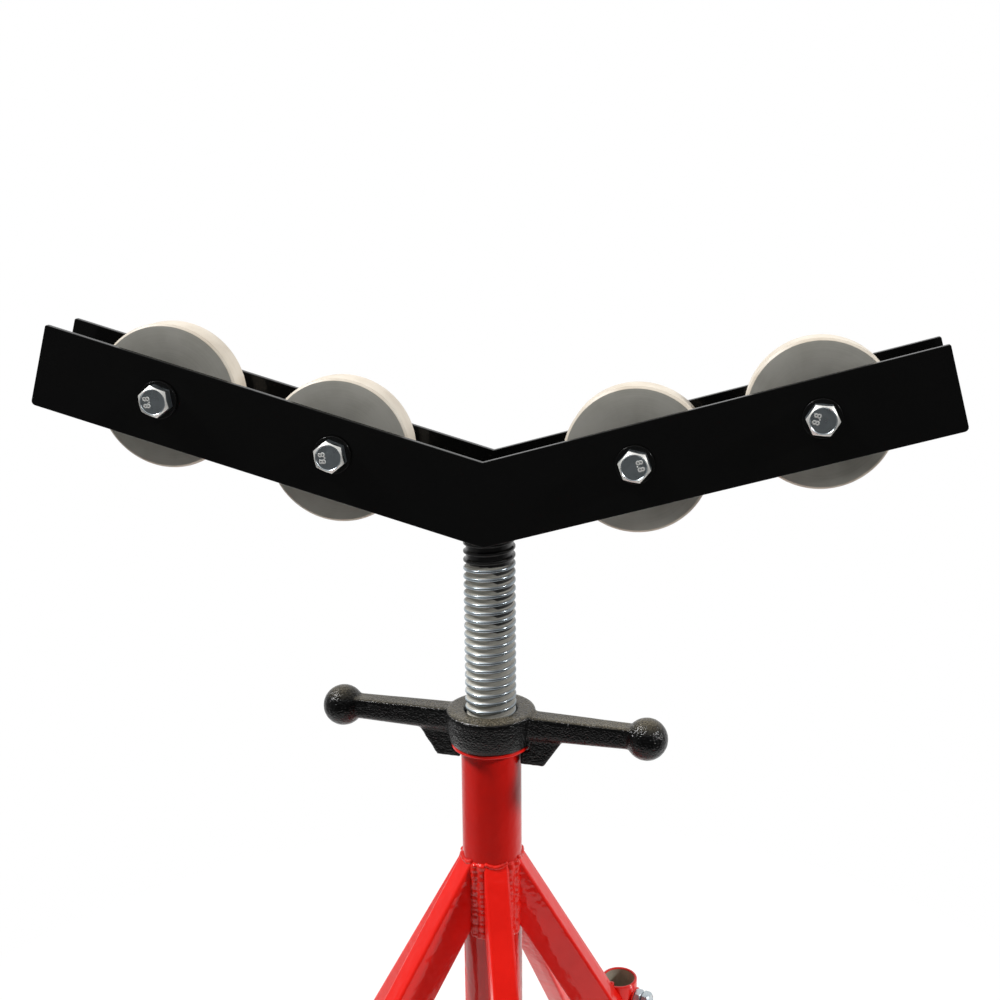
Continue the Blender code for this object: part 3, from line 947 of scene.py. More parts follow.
class ThreadTree(GeometryTree):
    """A screw thread: one strip that is a pitch wide, wound into a helix and cut square."""

    name = "screw_thread"
    spare = 3.0  # turns that are wound beyond the length, half of them at each end
    crowding = 0.05  # how far the rows move towards the flanks, as a share of the pitch
    weld = 0.00002  # the strip's edges are joined within this distance

    def __init__(self) -> None:
        """Builds the tree."""
        super().__init__()
        for name in ("Crest", "Root", "Bore", "Pitch", "Length", "Crest Flat", "Root Flat"):
            self.socket(name, "Float")
        for name in ("Rows", "Steps"):
            self.socket(name, "Int")
        g = self.graph
        given = g.add("NodeGroupInput").outputs
        turns = g.add("ShaderNodeMath", {0: given["Length"], 1: given["Pitch"]},
                      operation="DIVIDE")
        whole = g.add("ShaderNodeMath", {0: turns, 1: self.spare}, operation="ADD")
        columns = g.add("ShaderNodeMath", {0: whole, 1: given["Steps"]}, operation="MULTIPLY")
        strip = g.add("GeometryNodeMeshGrid",
                      {"Size X": 1.0, "Size Y": 1.0, "Vertices X": columns,
                       "Vertices Y": given["Rows"]})
        at = g.add("ShaderNodeSeparateXYZ", {0: g.add("GeometryNodeInputPosition")})
        along = g.add("ShaderNodeMath", {0: at.outputs["X"], 1: 0.5}, operation="ADD")
        even = g.add("ShaderNodeMath", {0: at.outputs["Y"], 1: 0.5}, operation="ADD")
        # The rows crowd where the flanks are, a quarter and three quarters of the way across.
        phase = g.add("ShaderNodeMath", {0: even, 1: 4 * math.pi}, operation="MULTIPLY")
        crowd = g.add("ShaderNodeMath",
                      {0: g.add("ShaderNodeMath", {0: phase}, operation="SINE"),
                       1: self.crowding, 2: even}, operation="MULTIPLY_ADD")
        last = g.add("ShaderNodeMath",
                     {0: g.add("ShaderNodeMath", {0: columns}, operation="FLOOR"), 1: 1.0},
                     operation="SUBTRACT")
        wound = g.add("ShaderNodeMath", {0: along, 1: last}, operation="MULTIPLY")
        passed = g.add("ShaderNodeMath", {0: wound, 1: given["Steps"]}, operation="DIVIDE")
        angle = g.add("ShaderNodeMath", {0: passed, 1: 2 * math.pi}, operation="MULTIPLY")
        counted = g.add("ShaderNodeMath", {0: passed, 1: crowd}, operation="ADD")
        shifted = g.add("ShaderNodeMath", {0: counted, 1: self.spare / 2},
                        operation="SUBTRACT")
        height = g.add("ShaderNodeMath", {0: shifted, 1: given["Pitch"]}, operation="MULTIPLY")
        bounded = g.add("ShaderNodeClamp", {"Value": height, "Min": 0.0, "Max": given["Length"]})
        # Half a pitch past an end the strip turns in towards the bore, which closes the end.
        over = g.add("ShaderNodeMath", {0: g.add("ShaderNodeMath", {0: height, 1: bounded},
                                                 operation="SUBTRACT")}, operation="ABSOLUTE")
        half_pitch = g.add("ShaderNodeMath", {0: given["Pitch"], 1: 0.5}, operation="MULTIPLY")
        past = g.add("ShaderNodeMath", {0: over, 1: half_pitch}, operation="GREATER_THAN")
        aside = g.add("ShaderNodeMath",
                      {0: g.add("ShaderNodeMath", {0: crowd, 1: 0.5}, operation="SUBTRACT")},
                      operation="ABSOLUTE")
        edge = g.add("ShaderNodeMath", {0: given["Crest Flat"], 1: 0.5}, operation="MULTIPLY")
        foot = g.add("ShaderNodeMath", {0: given["Root Flat"], 1: -0.5, 2: 0.5},
                     operation="MULTIPLY_ADD")
        form = g.add("ShaderNodeMapRange",
                     {"Value": aside, "From Min": edge, "From Max": foot,
                      "To Min": given["Crest"], "To Max": given["Root"]})
        radius = g.add("ShaderNodeMix", {0: past, 2: form, 3: given["Bore"]})
        x = g.add("ShaderNodeMath",
                  {0: radius, 1: g.add("ShaderNodeMath", {0: angle}, operation="COSINE")},
                  operation="MULTIPLY")
        y = g.add("ShaderNodeMath",
                  {0: radius, 1: g.add("ShaderNodeMath", {0: angle}, operation="SINE")},
                  operation="MULTIPLY")
        place = g.add("ShaderNodeCombineXYZ", {"X": x, "Y": y, "Z": bounded})
        wrapped = g.add("GeometryNodeSetPosition",
                        {"Geometry": strip.outputs["Mesh"], "Position": place})
        welded = g.add("GeometryNodeMergeByDistance",
                       {"Geometry": wrapped, "Distance": self.weld})
        smooth = g.add("GeometryNodeSetShadeSmooth", {"Geometry": welded})
        real = g.add("GeometryNodeRealizeInstances", {"Geometry": smooth})
        painted = g.add("GeometryNodeSetMaterial",
                        {"Geometry": real, "Material": given["Material"]})
        g.add("NodeGroupOutput", {"Geometry": painted})


@dataclass(frozen=True)
class ScrewThread:
    """Sizes of a screw thread, its flats as shares of the pitch."""

    radius: float
    pitch: float
    depth: float
    crest_flat: float = 0.125
    root_flat: float = 0.25
    rows: int = 9  # of points across the pitch
    steps: int = 32  # facets in a turn

    @classmethod
    def metric(cls, radius: float, pitch: float) -> "ScrewThread":
        """Gives the sizes of a metric thread."""
        return cls(radius, pitch, METRIC_DEPTH * pitch)

    def mesh(self, tree: ThreadTree, length: float, finish: Finish,
             bore: float = 0.0002) -> bpy.types.Mesh:
        """Winds the thread from local z = 0 up.

        Args:
            tree: The tree that winds it.
            length: How long it is.
            finish: What it is made of.
            bore: Radius at which its ends stop.

        Returns:
            The mesh, round local Z.
        """
        return tree.applied(
            bpy.data.meshes.new("guide"), finish.material(), crest=self.radius,
            root=self.radius - self.depth, bore=bore, pitch=self.pitch, length=length,
            crest_flat=self.crest_flat, root_flat=self.root_flat, rows=self.rows,
            steps=self.steps)


class WeldTree(GeometryTree):
    """A weld bead: overlapping ripples laid along a path."""

    name = "weld_bead"
    smallest = (0.55, 0.82, 0.82)  # ripple along and across the path, as shares of the radius
    largest = (0.75, 1.12, 1.12)

    def __init__(self) -> None:
        """Builds the tree."""
        super().__init__()
        for name in ("Spacing", "Radius", "Unevenness"):
            self.socket(name, "Float")
        self.socket("Seed", "Int")
        g = self.graph
        given = g.add("NodeGroupInput")
        points = g.add("GeometryNodeResampleCurve",
                       {"Curve": given.outputs["Geometry"], "Length": given.outputs["Spacing"]},
                       mode="LENGTH")
        ripple = g.add("GeometryNodeMeshUVSphere", {"Segments": 12, "Rings": 7, "Radius": 1.0})
        aligned = g.add("FunctionNodeAlignRotationToVector",
                        {"Vector": g.add("GeometryNodeInputTangent")}, axis="X")
        size = g.add("FunctionNodeRandomValue",
                     {"Min": self.smallest, "Max": self.largest,
                      "Seed": given.outputs["Seed"]}, data_type="FLOAT_VECTOR")
        scale = g.add("ShaderNodeVectorMath",
                      {0: size, "Scale": given.outputs["Radius"]}, operation="SCALE")
        laid = g.add("GeometryNodeInstanceOnPoints",
                     {"Points": points, "Instance": ripple, "Rotation": aligned, "Scale": scale})
        shaken = g.add("FunctionNodeRandomValue",
                       {"Min": (-1.0, -1.0, -1.0), "Max": (1.0, 1.0, 1.0),
                        "Seed": given.outputs["Seed"]}, data_type="FLOAT_VECTOR")
        reach = g.add("ShaderNodeMath", {0: given.outputs["Radius"],
                                         1: given.outputs["Unevenness"]}, operation="MULTIPLY")
        offset = g.add("ShaderNodeVectorMath", {0: shaken, "Scale": reach}, operation="SCALE")
        uneven = g.add("GeometryNodeTranslateInstances",
                       {"Instances": laid, "Translation": offset})
        real = g.add("GeometryNodeRealizeInstances", {"Geometry": uneven})
        smooth = g.add("GeometryNodeSetShadeSmooth", {"Geometry": real})
        painted = g.add("GeometryNodeSetMaterial",
                        {"Geometry": smooth, "Material": given.outputs["Material"]})
        g.add("NodeGroupOutput", {"Geometry": painted})


@dataclass(frozen=True)
class Bead:
    """Sizes of one run of weld."""

    radius: float  # half of its width
    seed: int  # of its unevenness
    spacing: float = 0.0026  # from one ripple to the next
    unevenness: float = 0.14  # how far a ripple strays, as a share of the radius
    rounds: int = 3  # of smoothing


@dataclass
class Welder:
    """Lays weld beads along paths."""

    tree: WeldTree
    voxel: float = 0.0009  # size of a bead's faces

    def lay(self, name: str, bead: Bead, paths: Iterable[Sequence[Vector]], body: Body,
            finish: Finish, clear: float = 0.0) -> None:
        """Lays one piece of weld, its ripples melted into each other.

        Args:
            name: The piece's name.
            bead: Its sizes.
            paths: Open runs of points.
            body: The body that the welded pieces belong to.
            finish: Its paint.
            clear: Radius round the column's axis that the bead stays out of.
        """
        curve = bpy.data.curves.new(name, "CURVE")
        curve.dimensions = "3D"
        for path in paths:
            spline = curve.splines.new("POLY")
            spline.points.add(len(path) - 1)
            for point, place in zip(spline.points, path):
                point.co = (*place, 1)
        ripples = self.tree.applied(
            curve, finish.material(), spacing=bead.spacing, radius=bead.radius, seed=bead.seed,
            unevenness=bead.unevenness)
        melted = Bench.melted(ripples, self.voxel, bead.rounds)
        if clear:
            for vertex in melted.vertices:
                x, y, z = vertex.co
                push = max(1.0, clear / math.hypot(x, y))
                vertex.co = (x * push, y * push, z)
        Bench.piece(name, melted, body, [finish])


@dataclass
class Base:
    """Column, five legs with their feet and braces, and the welds between them."""

    welder: Welder
    wall: float = 0.0039
    lean: float = 32.0
    joint: float = 0.444  # height at which a leg's outer face meets the column
    leg_width: float = 0.025
    leg_depth: float = 0.040
    leg_wall: float = 0.002
    leg_corner: float = 0.0028
    seat: float = 0.0053  # top of the foot plates
    saw_easing: float = 0.0009
    foot_easing: float = 0.0008
    brace_easing: float = 0.0006
    azimuths: tuple[float, ...] = (-72.0, 0.0, 72.0, 144.0, 216.0)
    gap_bead: Bead = Bead(0.0050, 3, 0.0021, 0.55, 2)
    end_bead: Bead = Bead(0.0029, 4, 0.0024, 0.1)
    brace_bead: Bead = Bead(0.0024, 5)
    foot_bead: Bead = Bead(0.0024, 7)
    end_inset: float = 0.0022  # of the end beads from the leg's sides
    gap_aside: float = 3.5  # degrees from a leg's side to the nearest run of the fill
    gap_sunk: tuple[float, ...] = (0.0008, 0.0024, 0.0008)  # each run, under the column's skin
    gap_longer: tuple[float, ...] = (0.0, 0.0022, 0.001)  # each run, past the legs' joint
    radius: float = field(init=False)

    def __post_init__(self) -> None:
        """Reads the column's radius from the frame."""
        self.radius = Span.of("column_tube").size.x / 2

    def build(self) -> None:
        """Builds every piece of the welded base."""
        self.column()
        self.legs()
        for number in range(1, len(self.azimuths) + 1):
            for node, easing in ((f"foot_plate_{number}", self.foot_easing),
                                 (f"leg_brace_{number}", self.brace_easing)):
                Bench.piece(node + "_eased", Bench.eased(node, easing), Body.BASE,
                            [RED_ENAMEL], node)
        self.welds()

    def column(self) -> None:
        """Builds the column, with its sawn ends eased."""
        span = Span.of("column_tube")
        mesh = Bench.sleeve(self.radius, self.radius - self.wall, span.low.z, span.high.z,
                            moved(), (self.saw_easing,) * 4, 96)
        # The column takes the darker enamel, which paints shade into its colour.
        Bench.piece("column", mesh, Body.BASE, [SHADED_COLUMN_ENAMEL], "column_tube")

    def on_leg(self, depth: float, side: float) -> Vector:
        """Finds where a line along the leg at azimuth 0 meets the column.

        Args:
            depth: Offset from the tube's centre line, outwards.
            side: Offset to the left, seen from outside.

        Returns:
            The point on the column's surface.
        """
        lean = math.radians(self.lean)
        start = Vector((self.radius, 0, self.joint))
        start -= Vector((math.cos(lean), 0, math.sin(lean))) * self.leg_depth / 2
        reach = math.sqrt(self.radius**2 - side**2)
        run = (reach - start.x - depth * math.cos(lean)) / math.sin(lean)
        return Vector((reach, side, start.z + depth * math.sin(lean) - run * math.cos(lean)))

    def leg_mesh(self) -> bpy.types.Mesh:
        """Builds the leg at azimuth 0, coped to the column and cut to its foot plate.

        Returns:
            The mesh, in world coordinates.
        """
        lean = math.radians(self.lean)
        x, y, corner, wall = self.leg_depth / 2, self.leg_width / 2, self.leg_corner, self.leg_wall
        spare = 0.001  # that the column and the floor cut off
        outer = [(x, y, corner), (-x, y, corner), (-x, -y, corner), (x, -y, corner)]
        inner = [(math.copysign(abs(a) - wall, a), math.copysign(abs(b) - wall, b), r - wall)
                 for a, b, r in outer]
        middle = (self.joint + self.seat) / 2
        centre = self.radius + (self.joint - middle) * math.tan(lean) - x / math.cos(lean)
        half = (self.joint - self.seat) / 2 / math.cos(lean) + x * math.tan(lean) + spare
        place = moved(centre, 0, middle) @ turn("Y", -self.lean)
        tube = Bench.prism(Bench.softened(outer, 6), -half, half, place, Bench.softened(inner, 6))
        column = Bench.rod(self.radius, -FAR, FAR, moved(), 96)
        floor = Bench.prism([(-FAR, -FAR), (FAR, -FAR), (FAR, FAR), (-FAR, FAR)], -FAR,
                            self.seat, moved())
        return Bench.cut(tube, "DIFFERENCE", column, floor)

    def legs(self) -> None:
        """Builds the five legs from one mesh."""
        master = self.leg_mesh()
        for number, azimuth in enumerate(self.azimuths, 1):
            mesh = master.copy()
            mesh.transform(turn("Z", azimuth))
            Bench.piece(f"leg_tube_{number}", mesh, Body.BASE, [RED_ENAMEL], f"leg_{number}")

    def welds(self) -> None:
        """Fills the gaps between the legs and lays the beads at the braces and feet."""
        gaps, ends, braces, feet = [], [], [], []
        for azimuth in self.azimuths:
            rotate = turn("Z", azimuth)
            gaps += [[rotate @ p for p in path] for path in self.gap_paths()]
            ends += [[rotate @ p for p in path] for path in self.end_paths()]
            braces += self.brace_paths(rotate)
            feet.append(self.foot_path(rotate))
        # The fill stops halfway into the column's wall, so that the bore stays free.
        clear = self.radius - self.wall / 2
        self.welder.lay("leg_gap_welds", self.gap_bead, gaps, Body.BASE, WELD_ENAMEL, clear)
        self.welder.lay("leg_end_welds", self.end_bead, ends, Body.BASE, WELD_ENAMEL)
        self.welder.lay("brace_welds", self.brace_bead, braces, Body.BASE, WELD_ENAMEL)
        self.welder.lay("foot_welds", self.foot_bead, feet, Body.BASE, WELD_ENAMEL)

    def end_paths(self) -> list[list[Vector]]:
        """Finds the runs across the upper and the lower end of the leg at azimuth 0.

        Returns:
            Both runs' points.
        """
        x, y, steps = self.leg_depth / 2, self.leg_width / 2 - self.end_inset, 8
        lip = 0.0008  # from the leg's outer face in to the upper run
        return [[self.on_leg(depth, -y + 2 * y * i / steps) for i in range(steps + 1)]
                for depth in (x - lip, -x)]

    def gap_paths(self) -> list[list[Vector]]:
        """Finds the runs that fill the gap to the left of the leg at azimuth 0.

        Returns:
            The points of three upright runs.
        """
        below, past = 0.001, 0.002  # the top of the legs' joint, and its foot
        tall = self.leg_depth / math.sin(math.radians(self.lean)) + past
        beside = math.degrees(math.asin(self.leg_width / 2 / self.radius)) + self.gap_aside
        between = 180 / len(self.azimuths)
        steps, runs = 24, []
        for azimuth, sunk, longer in zip((beside, between, 2 * between - beside),
                                         self.gap_sunk, self.gap_longer):
            top = Vector((self.radius - sunk, 0, self.joint - below))
            fall = tall + longer
            runs.append([turn("Z", azimuth) @ (top - Vector((0, 0, fall * i / steps)))
                         for i in range(steps + 1)])
        return runs

    def leg_radius(self, height: float, inner: bool) -> float:
        """Measures from the column's axis to a leg's face.

        Args:
            height: Where it is measured, over the floor.
            inner: Whether the face is the inner one.

        Returns:
            The distance.
        """
        lean = math.radians(self.lean)
        outer = self.radius + (self.joint - height) * math.tan(lean)
        return outer - self.leg_depth / math.cos(lean) if inner else outer

    def brace_paths(self, rotate: Matrix) -> list[list[Vector]]:
        """Finds the upright runs at both ends of one brace, on both sides of it.

        Args:
            rotate: The turn from azimuth 0 to the brace's own.

        Returns:
            The points of four runs.
        """
        span = Span.of("leg_brace_2")
        proud, short, steps = 0.0008, 0.001, 6  # off the brace's side, and at each end
        half = span.size.y / 2 + proud
        paths = []
        for side in (-half, half):
            for ends in ((self.radius, self.radius),
                         (self.leg_radius(span.low.z, True), self.leg_radius(span.high.z, True))):
                start = Vector((ends[0], side, span.low.z + short))
                end = Vector((ends[1], side, span.high.z - short))
                paths.append([rotate @ start.lerp(end, i / steps) for i in range(steps + 1)])
        return paths

    def foot_path(self, rotate: Matrix) -> list[Vector]:
        """Finds the run round the foot of one leg.

        Args:
            rotate: The turn from azimuth 0 to the leg's own.

        Returns:
            The run's points.
        """
        outer, inner = self.leg_radius(self.seat, False), self.leg_radius(self.seat, True)
        proud, rise = 0.0006, 0.0004  # off the leg and off its plate
        y, z = self.leg_width / 2 + proud, self.seat + rise
        corners = [(inner, y), (outer, y), (outer, -y), (inner, -y), (inner, y)]
        return [rotate @ Vector((a, b, z)) for a, b in corners]


@dataclass
class AccessorySocket:
    """Upright socket beside the right-hand leg, with its welded nut and clamping screw."""

    welder: Welder
    base: Base
    threads: ThreadTree
    wall: float = 0.003
    clamp_turn: float = -20.0
    clamp_drop: float = 0.020
    flats: float = 0.019
    thread: float = 0.012
    pitch: float = 0.00175
    thread_gap: float = 0.0003  # round the screw in its nut
    nut: float = 0.008
    nut_gap: float = 0.0003  # between the tube and the nut, which the weld bridges
    stand: float = 0.0015
    head: float = 0.0075
    shank: float = 0.020
    hole: float = 0.0065  # radius of the hole in the socket's side
    hole_end: float = 0.04  # outside the tube, from its axis
    bare_wall: float = 0.2  # of the wall, from the bore out, that counts as bore
    mouth_easing: float = 0.0011
    foot_easing: float = 0.0008
    painted: float = 0.0012  # of the bore, from its mouth down
    flank_bead: Bead = Bead(0.0033, 11)
    nut_bead: Bead = Bead(0.0016, 13)
    nut_ring: float = 0.0108  # radius of the bead round the nut

    def build(self) -> None:
        """Builds the socket, nut and screw, and their welds."""
        span = Span.of("accessory_socket")
        centre, outer = span.centre, span.size.x / 2
        out = (moved(centre.x, centre.y, span.high.z - self.clamp_drop)
               @ turn("Z", self.clamp_turn) @ turn("Y", 90))
        self.tube(span, out)
        seat = outer + self.nut_gap
        nut = Hexagon(self.flats, self.nut, both=True).mesh(out @ moved(z=seat))
        bore = Bench.rod(self.thread / 2 + self.thread_gap, -THROUGH, THROUGH, out, 48)
        Bench.piece("clamp_nut", Bench.cut(nut, "DIFFERENCE", bore), Body.BASE, [BLUE_ZINC],
                    "socket_nut")
        self.screw(out @ moved(z=seat + self.nut + self.stand))
        self.welds(centre, out @ moved(z=seat))

    def tube(self, span: Span, out: Matrix) -> None:
        """Builds the socket's tube, its bore left bare.

        Args:
            span: The CAD node's box.
            out: The side hole's start on the tube's axis, with local Z along the hole.
        """
        centre, outer = span.centre, span.size.x / 2
        mouth, foot = self.mouth_easing, self.foot_easing
        mesh = Bench.sleeve(outer, outer - self.wall, span.low.z, span.high.z,
                            moved(centre.x, centre.y), (mouth, foot, foot, mouth), 72)
        mesh = Bench.cut(mesh, "DIFFERENCE", Bench.rod(self.hole, 0, self.hole_end, out, 48))
        for face in mesh.polygons:
            away = (face.center.xy - centre.xy).length
            below = face.center.z < span.high.z - self.painted
            inside = away < outer - (1 - self.bare_wall) * self.wall
            face.material_index = int(below and inside)
        Bench.piece("socket", mesh, Body.BASE, [RED_ENAMEL, BARE_BORE], "accessory_socket")

    def screw(self, place: Matrix) -> None:
        """Builds the clamping screw.

        Args:
            place: The underside of its head, with local Z outwards.
        """
        head = Hexagon(self.flats, self.head, both=False).mesh(place)
        overlap = 0.001  # of the thread and the head
        thread = ScrewThread.metric(self.thread / 2, self.pitch).mesh(
            self.threads, self.shank + overlap, BLUE_ZINC)
        thread.transform(place @ moved(z=-self.shank))
        Bench.piece("clamp_bolt", Bench.joined([head, thread]), Body.CLAMP, [BLUE_ZINC],
                    "set_screw")

    def welds(self, centre: Vector, nut: Matrix) -> None:
        """Lays the beads down the leg's flank and round the nut.

        Args:
            centre: Middle of the socket.
            nut: The nut's seat, with local Z outwards.
        """
        proud, sunk = 0.0012, 0.0004  # off the leg's flank, and under the nut's seat
        flank = self.base.leg_width / 2 + proud
        lean, apart, short, steps = math.radians(self.base.lean), 0.0065, 0.003, 20
        tall = self.base.leg_depth / math.sin(lean) - 2 * short
        runs = []
        for x in (centre.x - apart, centre.x + apart):
            high = self.base.joint - (x - self.base.radius) / math.tan(lean) - short
            runs.append([Vector((x, flank, high - tall * i / steps)) for i in range(steps + 1)])
        facets = 24
        ring = [nut @ Vector((self.nut_ring * math.cos(a), self.nut_ring * math.sin(a), -sunk))
                for a in (2 * math.pi * i / facets for i in range(facets + 1))]
        self.welder.lay("socket_welds", self.flank_bead, runs, Body.BASE, WELD_ENAMEL)
        self.welder.lay("nut_weld", self.nut_bead, [ring], Body.BASE, WELD_ENAMEL)


@dataclass
class Hexagon:
    """A hexagon nut's or bolt head's block, its corners chamfered and its face set back."""

    flats: float
    height: float
    both: bool  # whether both ends are chamfered
    disc: float = 0.91  # diameter of the flat face over the flats
    slope: float = 36.0  # of the chamfer
    recess: float = 0.0004
    edge: float = 0.0004  # radius of the six upright edges

    def mesh(self, place: Matrix) -> bpy.types.Mesh:
        """Builds the block from local z = 0 up, with a corner on local Y.

        Args:
            place: Where it goes.

        Returns:
            The mesh, in world coordinates.
        """
        corner = self.flats / 2 / math.cos(math.pi / 6)
        face, wide = self.disc * self.flats / 2, corner * 1.03  # just past the corners
        drop = (wide - face) * math.tan(math.radians(self.slope))
        angles = [math.pi / 3 * i for i in range(6)]
        outline = [(corner * math.sin(a), corner * math.cos(a), self.edge) for a in angles]
        block = Bench.prism(Bench.softened(outline, 2), 0, self.height, moved())
        low = [(wide, drop), (face, 0)] if self.both else [(wide, 0)]
        inside, lip = self.height - self.recess, face - self.recess
        profile = [(0, inside), (lip - self.recess, inside), (lip, self.height),
                   (face, self.height), (wide, self.height - drop), *low, (0, 0)]
        made = Bench.cut(block, "INTERSECT", Bench.turned(profile, 96, moved()))
        made.transform(place)
        return made


@dataclass
class Jack:
    """Loose ring, cast handle nut and threaded screw."""

    threads: ThreadTree
    pitch: float = 0.0084667
    depth: float = 0.0026
    crest_flat: float = 0.26
    root_flat: float = 0.46
    bore: float = 0.018
    bore_easing: float = 0.001
    painted: float = 0.022  # of the screw under the head
    ring_bore: float = 0.0262
    ring_easings: tuple[float, ...] = (0.0006, 0.0006, 0.0003, 0.0003)
    voxel: float = 0.0012
    mould_rounds: int = 10  # of smoothing, for the fillets that a mould gives

    def build(self) -> None:
        """Builds the three pieces."""
        self.ring()
        self.nut()
        self.screw()

    def ring(self) -> None:
        """Builds the ring under the nut."""
        span = Span.of("thrust_ring")
        mesh = Bench.sleeve(span.size.x / 2, self.ring_bore, span.low.z, span.high.z, moved(),
                            self.ring_easings, 96)
        Bench.piece("loose_ring", mesh, Body.TURNTABLE, [RED_ENAMEL], "thrust_ring")

    def nut(self) -> None:
        """Builds the casting: the CAD's form with the fillets that a mould gives."""
        sharp = Bench.mesh_from(Bench.merged("handle_nut"), moved())
        mesh = Bench.melted(sharp, self.voxel, self.mould_rounds)
        Bench.piece("cast_handle_nut", mesh, Body.HANDLE, [CAST_BLACK], "handle_nut")

    def screw(self) -> None:
        """Builds the screw with its thread, painted black where it meets the head."""
        span = Span.of("jack_screw")
        low, high = span.low.z, span.high.z
        acme = ScrewThread(span.size.x / 2, self.pitch, self.depth, self.crest_flat,
                           self.root_flat, rows=21, steps=48)
        # Rolled steel, zinc plated: silver crests, matt warm grooves, black overspray, and painted
        # shade down one side.
        zinc = RolledThread("zinc_on_rolled_thread", Slot.ZINC, "#C1CDD5", "#CDCAC0", "#0B0B0A",
                            acme.radius, acme.depth, acme.pitch, low)
        thread = acme.mesh(self.threads, span.size.z, zinc, self.bore)
        thread.transform(moved(z=low))
        mouth, inset = self.bore + self.bore_easing, 0.0002
        bore = Bench.turned([(mouth, high - inset), (mouth, low + inset), (self.bore, low),
                             (self.bore, high)], 64, moved())
        edge = Span.of("front_plate").low.z - self.painted
        mesh = Bench.joined([thread, bore])
        for face in mesh.polygons:
            face.material_index = int(face.center.z > edge)
        Bench.piece("threaded_screw", mesh, Body.HEAD, [zinc, PAINTED_THREAD],
                    "jack_screw")


@dataclass
class AxleBolt:
    """A wheel's bolt with its washers and lock nut."""

    number: int
    turned_by: float  # degrees of the head
    figure_at: float  # degrees of the raised grade on the head's face
    threads: ThreadTree
    flats: float = 0.027
    head: float = 0.0115
    thread: float = 0.018
    pitch: float = 0.0025
    threaded: float = 0.042
    # chamfer faces in this band get the painted reflection
    painted_rim_facing: Point = (0.75, 0.95)  # how far the chamfer's faces look along the bolt
    figure: float = 0.0090
    figure_raised: float = 0.0002
    figure_eased: float = 0.00018
    figure_out: float = 0.0056  # from the head's middle
    figure_sunk: float = 0.0004  # to the head's recessed face
    washer: float = 0.018
    washer_bore: float = 0.0095
    washer_easing: float = 0.0004
    nut: float = 0.0145
    nut_bore: float = 0.0093
    cup: Point = (0.0116, 0.0098)  # outer and inner radius of the nut's collar
    cup_easings: tuple[float, ...] = (0.0014, 0.0, 0.0, 0.0005)
    nylon: Point = (0.0099, 0.0092)
    nylon_sunk: float = 0.0008
    nylon_easings: tuple[float, ...] = (0.0004, 0.0, 0.0, 0.0004)

    def build(self, centre: Vector) -> None:
        """Builds the pieces of one axle.

        Args:
            centre: The wheel's centre.
        """
        along = moved(centre.x, 0, centre.z) @ turn("X", -90) @ turn("Z", self.turned_by)
        span = Span.of(f"axle_bolt_{self.number}")
        self.bolt(along, span.low.y + self.head, span.high.y)
        self.washers(along)
        self.lock_nut(along)

    def bolt(self, along: Matrix, under: float, end: float) -> None:
        """Builds the bolt: head, plain shank, thread and the raised grade on the head.

        Args:
            along: The axle, with local Z towards the back plate.
            under: Where the head's underside is on local Z.
            end: Where the thread ends.
        """
        face = along @ moved(z=under) @ turn("X", 180)
        head = Hexagon(self.flats, self.head, both=False).mesh(face)
        radius = self.thread / 2
        plain = Bench.rod(radius, under, end - self.threaded, along, 64)
        thread = ScrewThread.metric(radius, self.pitch).mesh(
            self.threads, self.threaded, BLUE_ZINC)
        thread.transform(along @ moved(z=end - self.threaded))
        steel = Bench.joined([head, plain, thread])
        count = len(steel.polygons)
        mesh = Bench.joined([steel, self.grade(face @ moved(z=self.head))])
        # The raised figures take the pale colour that paints their highlight.
        for polygon in mesh.polygons[count:]:
            polygon.material_index = 1
        # The chamfer's faces take the near-white colour that paints the reflection of white
        # surroundings.
        least, most = self.painted_rim_facing
        for polygon in mesh.polygons[:len(head.polygons)]:
            if least < -polygon.normal.y < most:
                polygon.material_index = 2
        Bench.piece(f"bolt_{self.number}", mesh, Body.HEAD, [BLUE_ZINC, FIGURES_PAINTED_PALE, RIM_PAINTED_REFLECTION],
                    f"axle_bolt_{self.number}")

    def grade(self, face: Matrix) -> bpy.types.Mesh:
        """Builds the raised strength grade near the rim of the head's face.

        Args:
            face: Middle of the head's rim, with local Z outwards.

        Returns:
            The mesh, in world coordinates.
        """
        text = bpy.data.curves.new("grade", "FONT")
        text.body = "8.8"
        text.size = self.figure
        text.extrude = self.figure_raised
        text.bevel_depth = self.figure_eased
        text.align_x = "CENTER"
        text.align_y = "CENTER"
        mesh = Bench.evaluated(Bench.linked("grade", text))
        mesh.transform(face @ turn("Z", self.figure_at)
                       @ moved(y=self.figure_out, z=-self.figure_sunk))
        return mesh

    def washers(self, along: Matrix) -> None:
        """Builds both washers.

        Args:
            along: The axle, with local Z towards the back plate.
        """
        for tag, finish in (("front", BLACK_ENAMEL), ("rear", BRIGHT_ZINC)):
            node = f"washer_{self.number}_{tag}"
            span = Span.of(node)
            mesh = Bench.sleeve(self.washer, self.washer_bore, span.low.y, span.high.y, along,
                                (self.washer_easing,) * 4, 72, 3)
            Bench.piece(f"{tag}_washer_{self.number}", mesh, Body.HEAD, [finish], node)

    def lock_nut(self, along: Matrix) -> None:
        """Builds the lock nut, with its collar and the nylon ring in it.

        Args:
            along: The axle, with local Z towards the back plate.
        """
        node = f"lock_nut_{self.number}"
        span = Span.of(node)
        collar, start = span.size.y, along @ moved(z=span.low.y)
        block = Hexagon(self.flats, self.nut, both=False).mesh(start)
        cup = Bench.sleeve(*self.cup, self.nut / 2, collar, start, self.cup_easings, 64)
        bore = Bench.rod(self.nut_bore, -THROUGH, THROUGH, start, 64)
        mesh = Bench.joined([Bench.cut(block, "DIFFERENCE", bore), cup])
        Bench.piece(f"nut_{self.number}", mesh, Body.HEAD, [BLUE_ZINC], node)
        ring = Bench.sleeve(*self.nylon, self.nut, collar - self.nylon_sunk, start,
                            self.nylon_easings, 64)
        Bench.piece(f"locking_ring_{self.number}", ring, Body.HEAD, [LOCKING_NYLON])


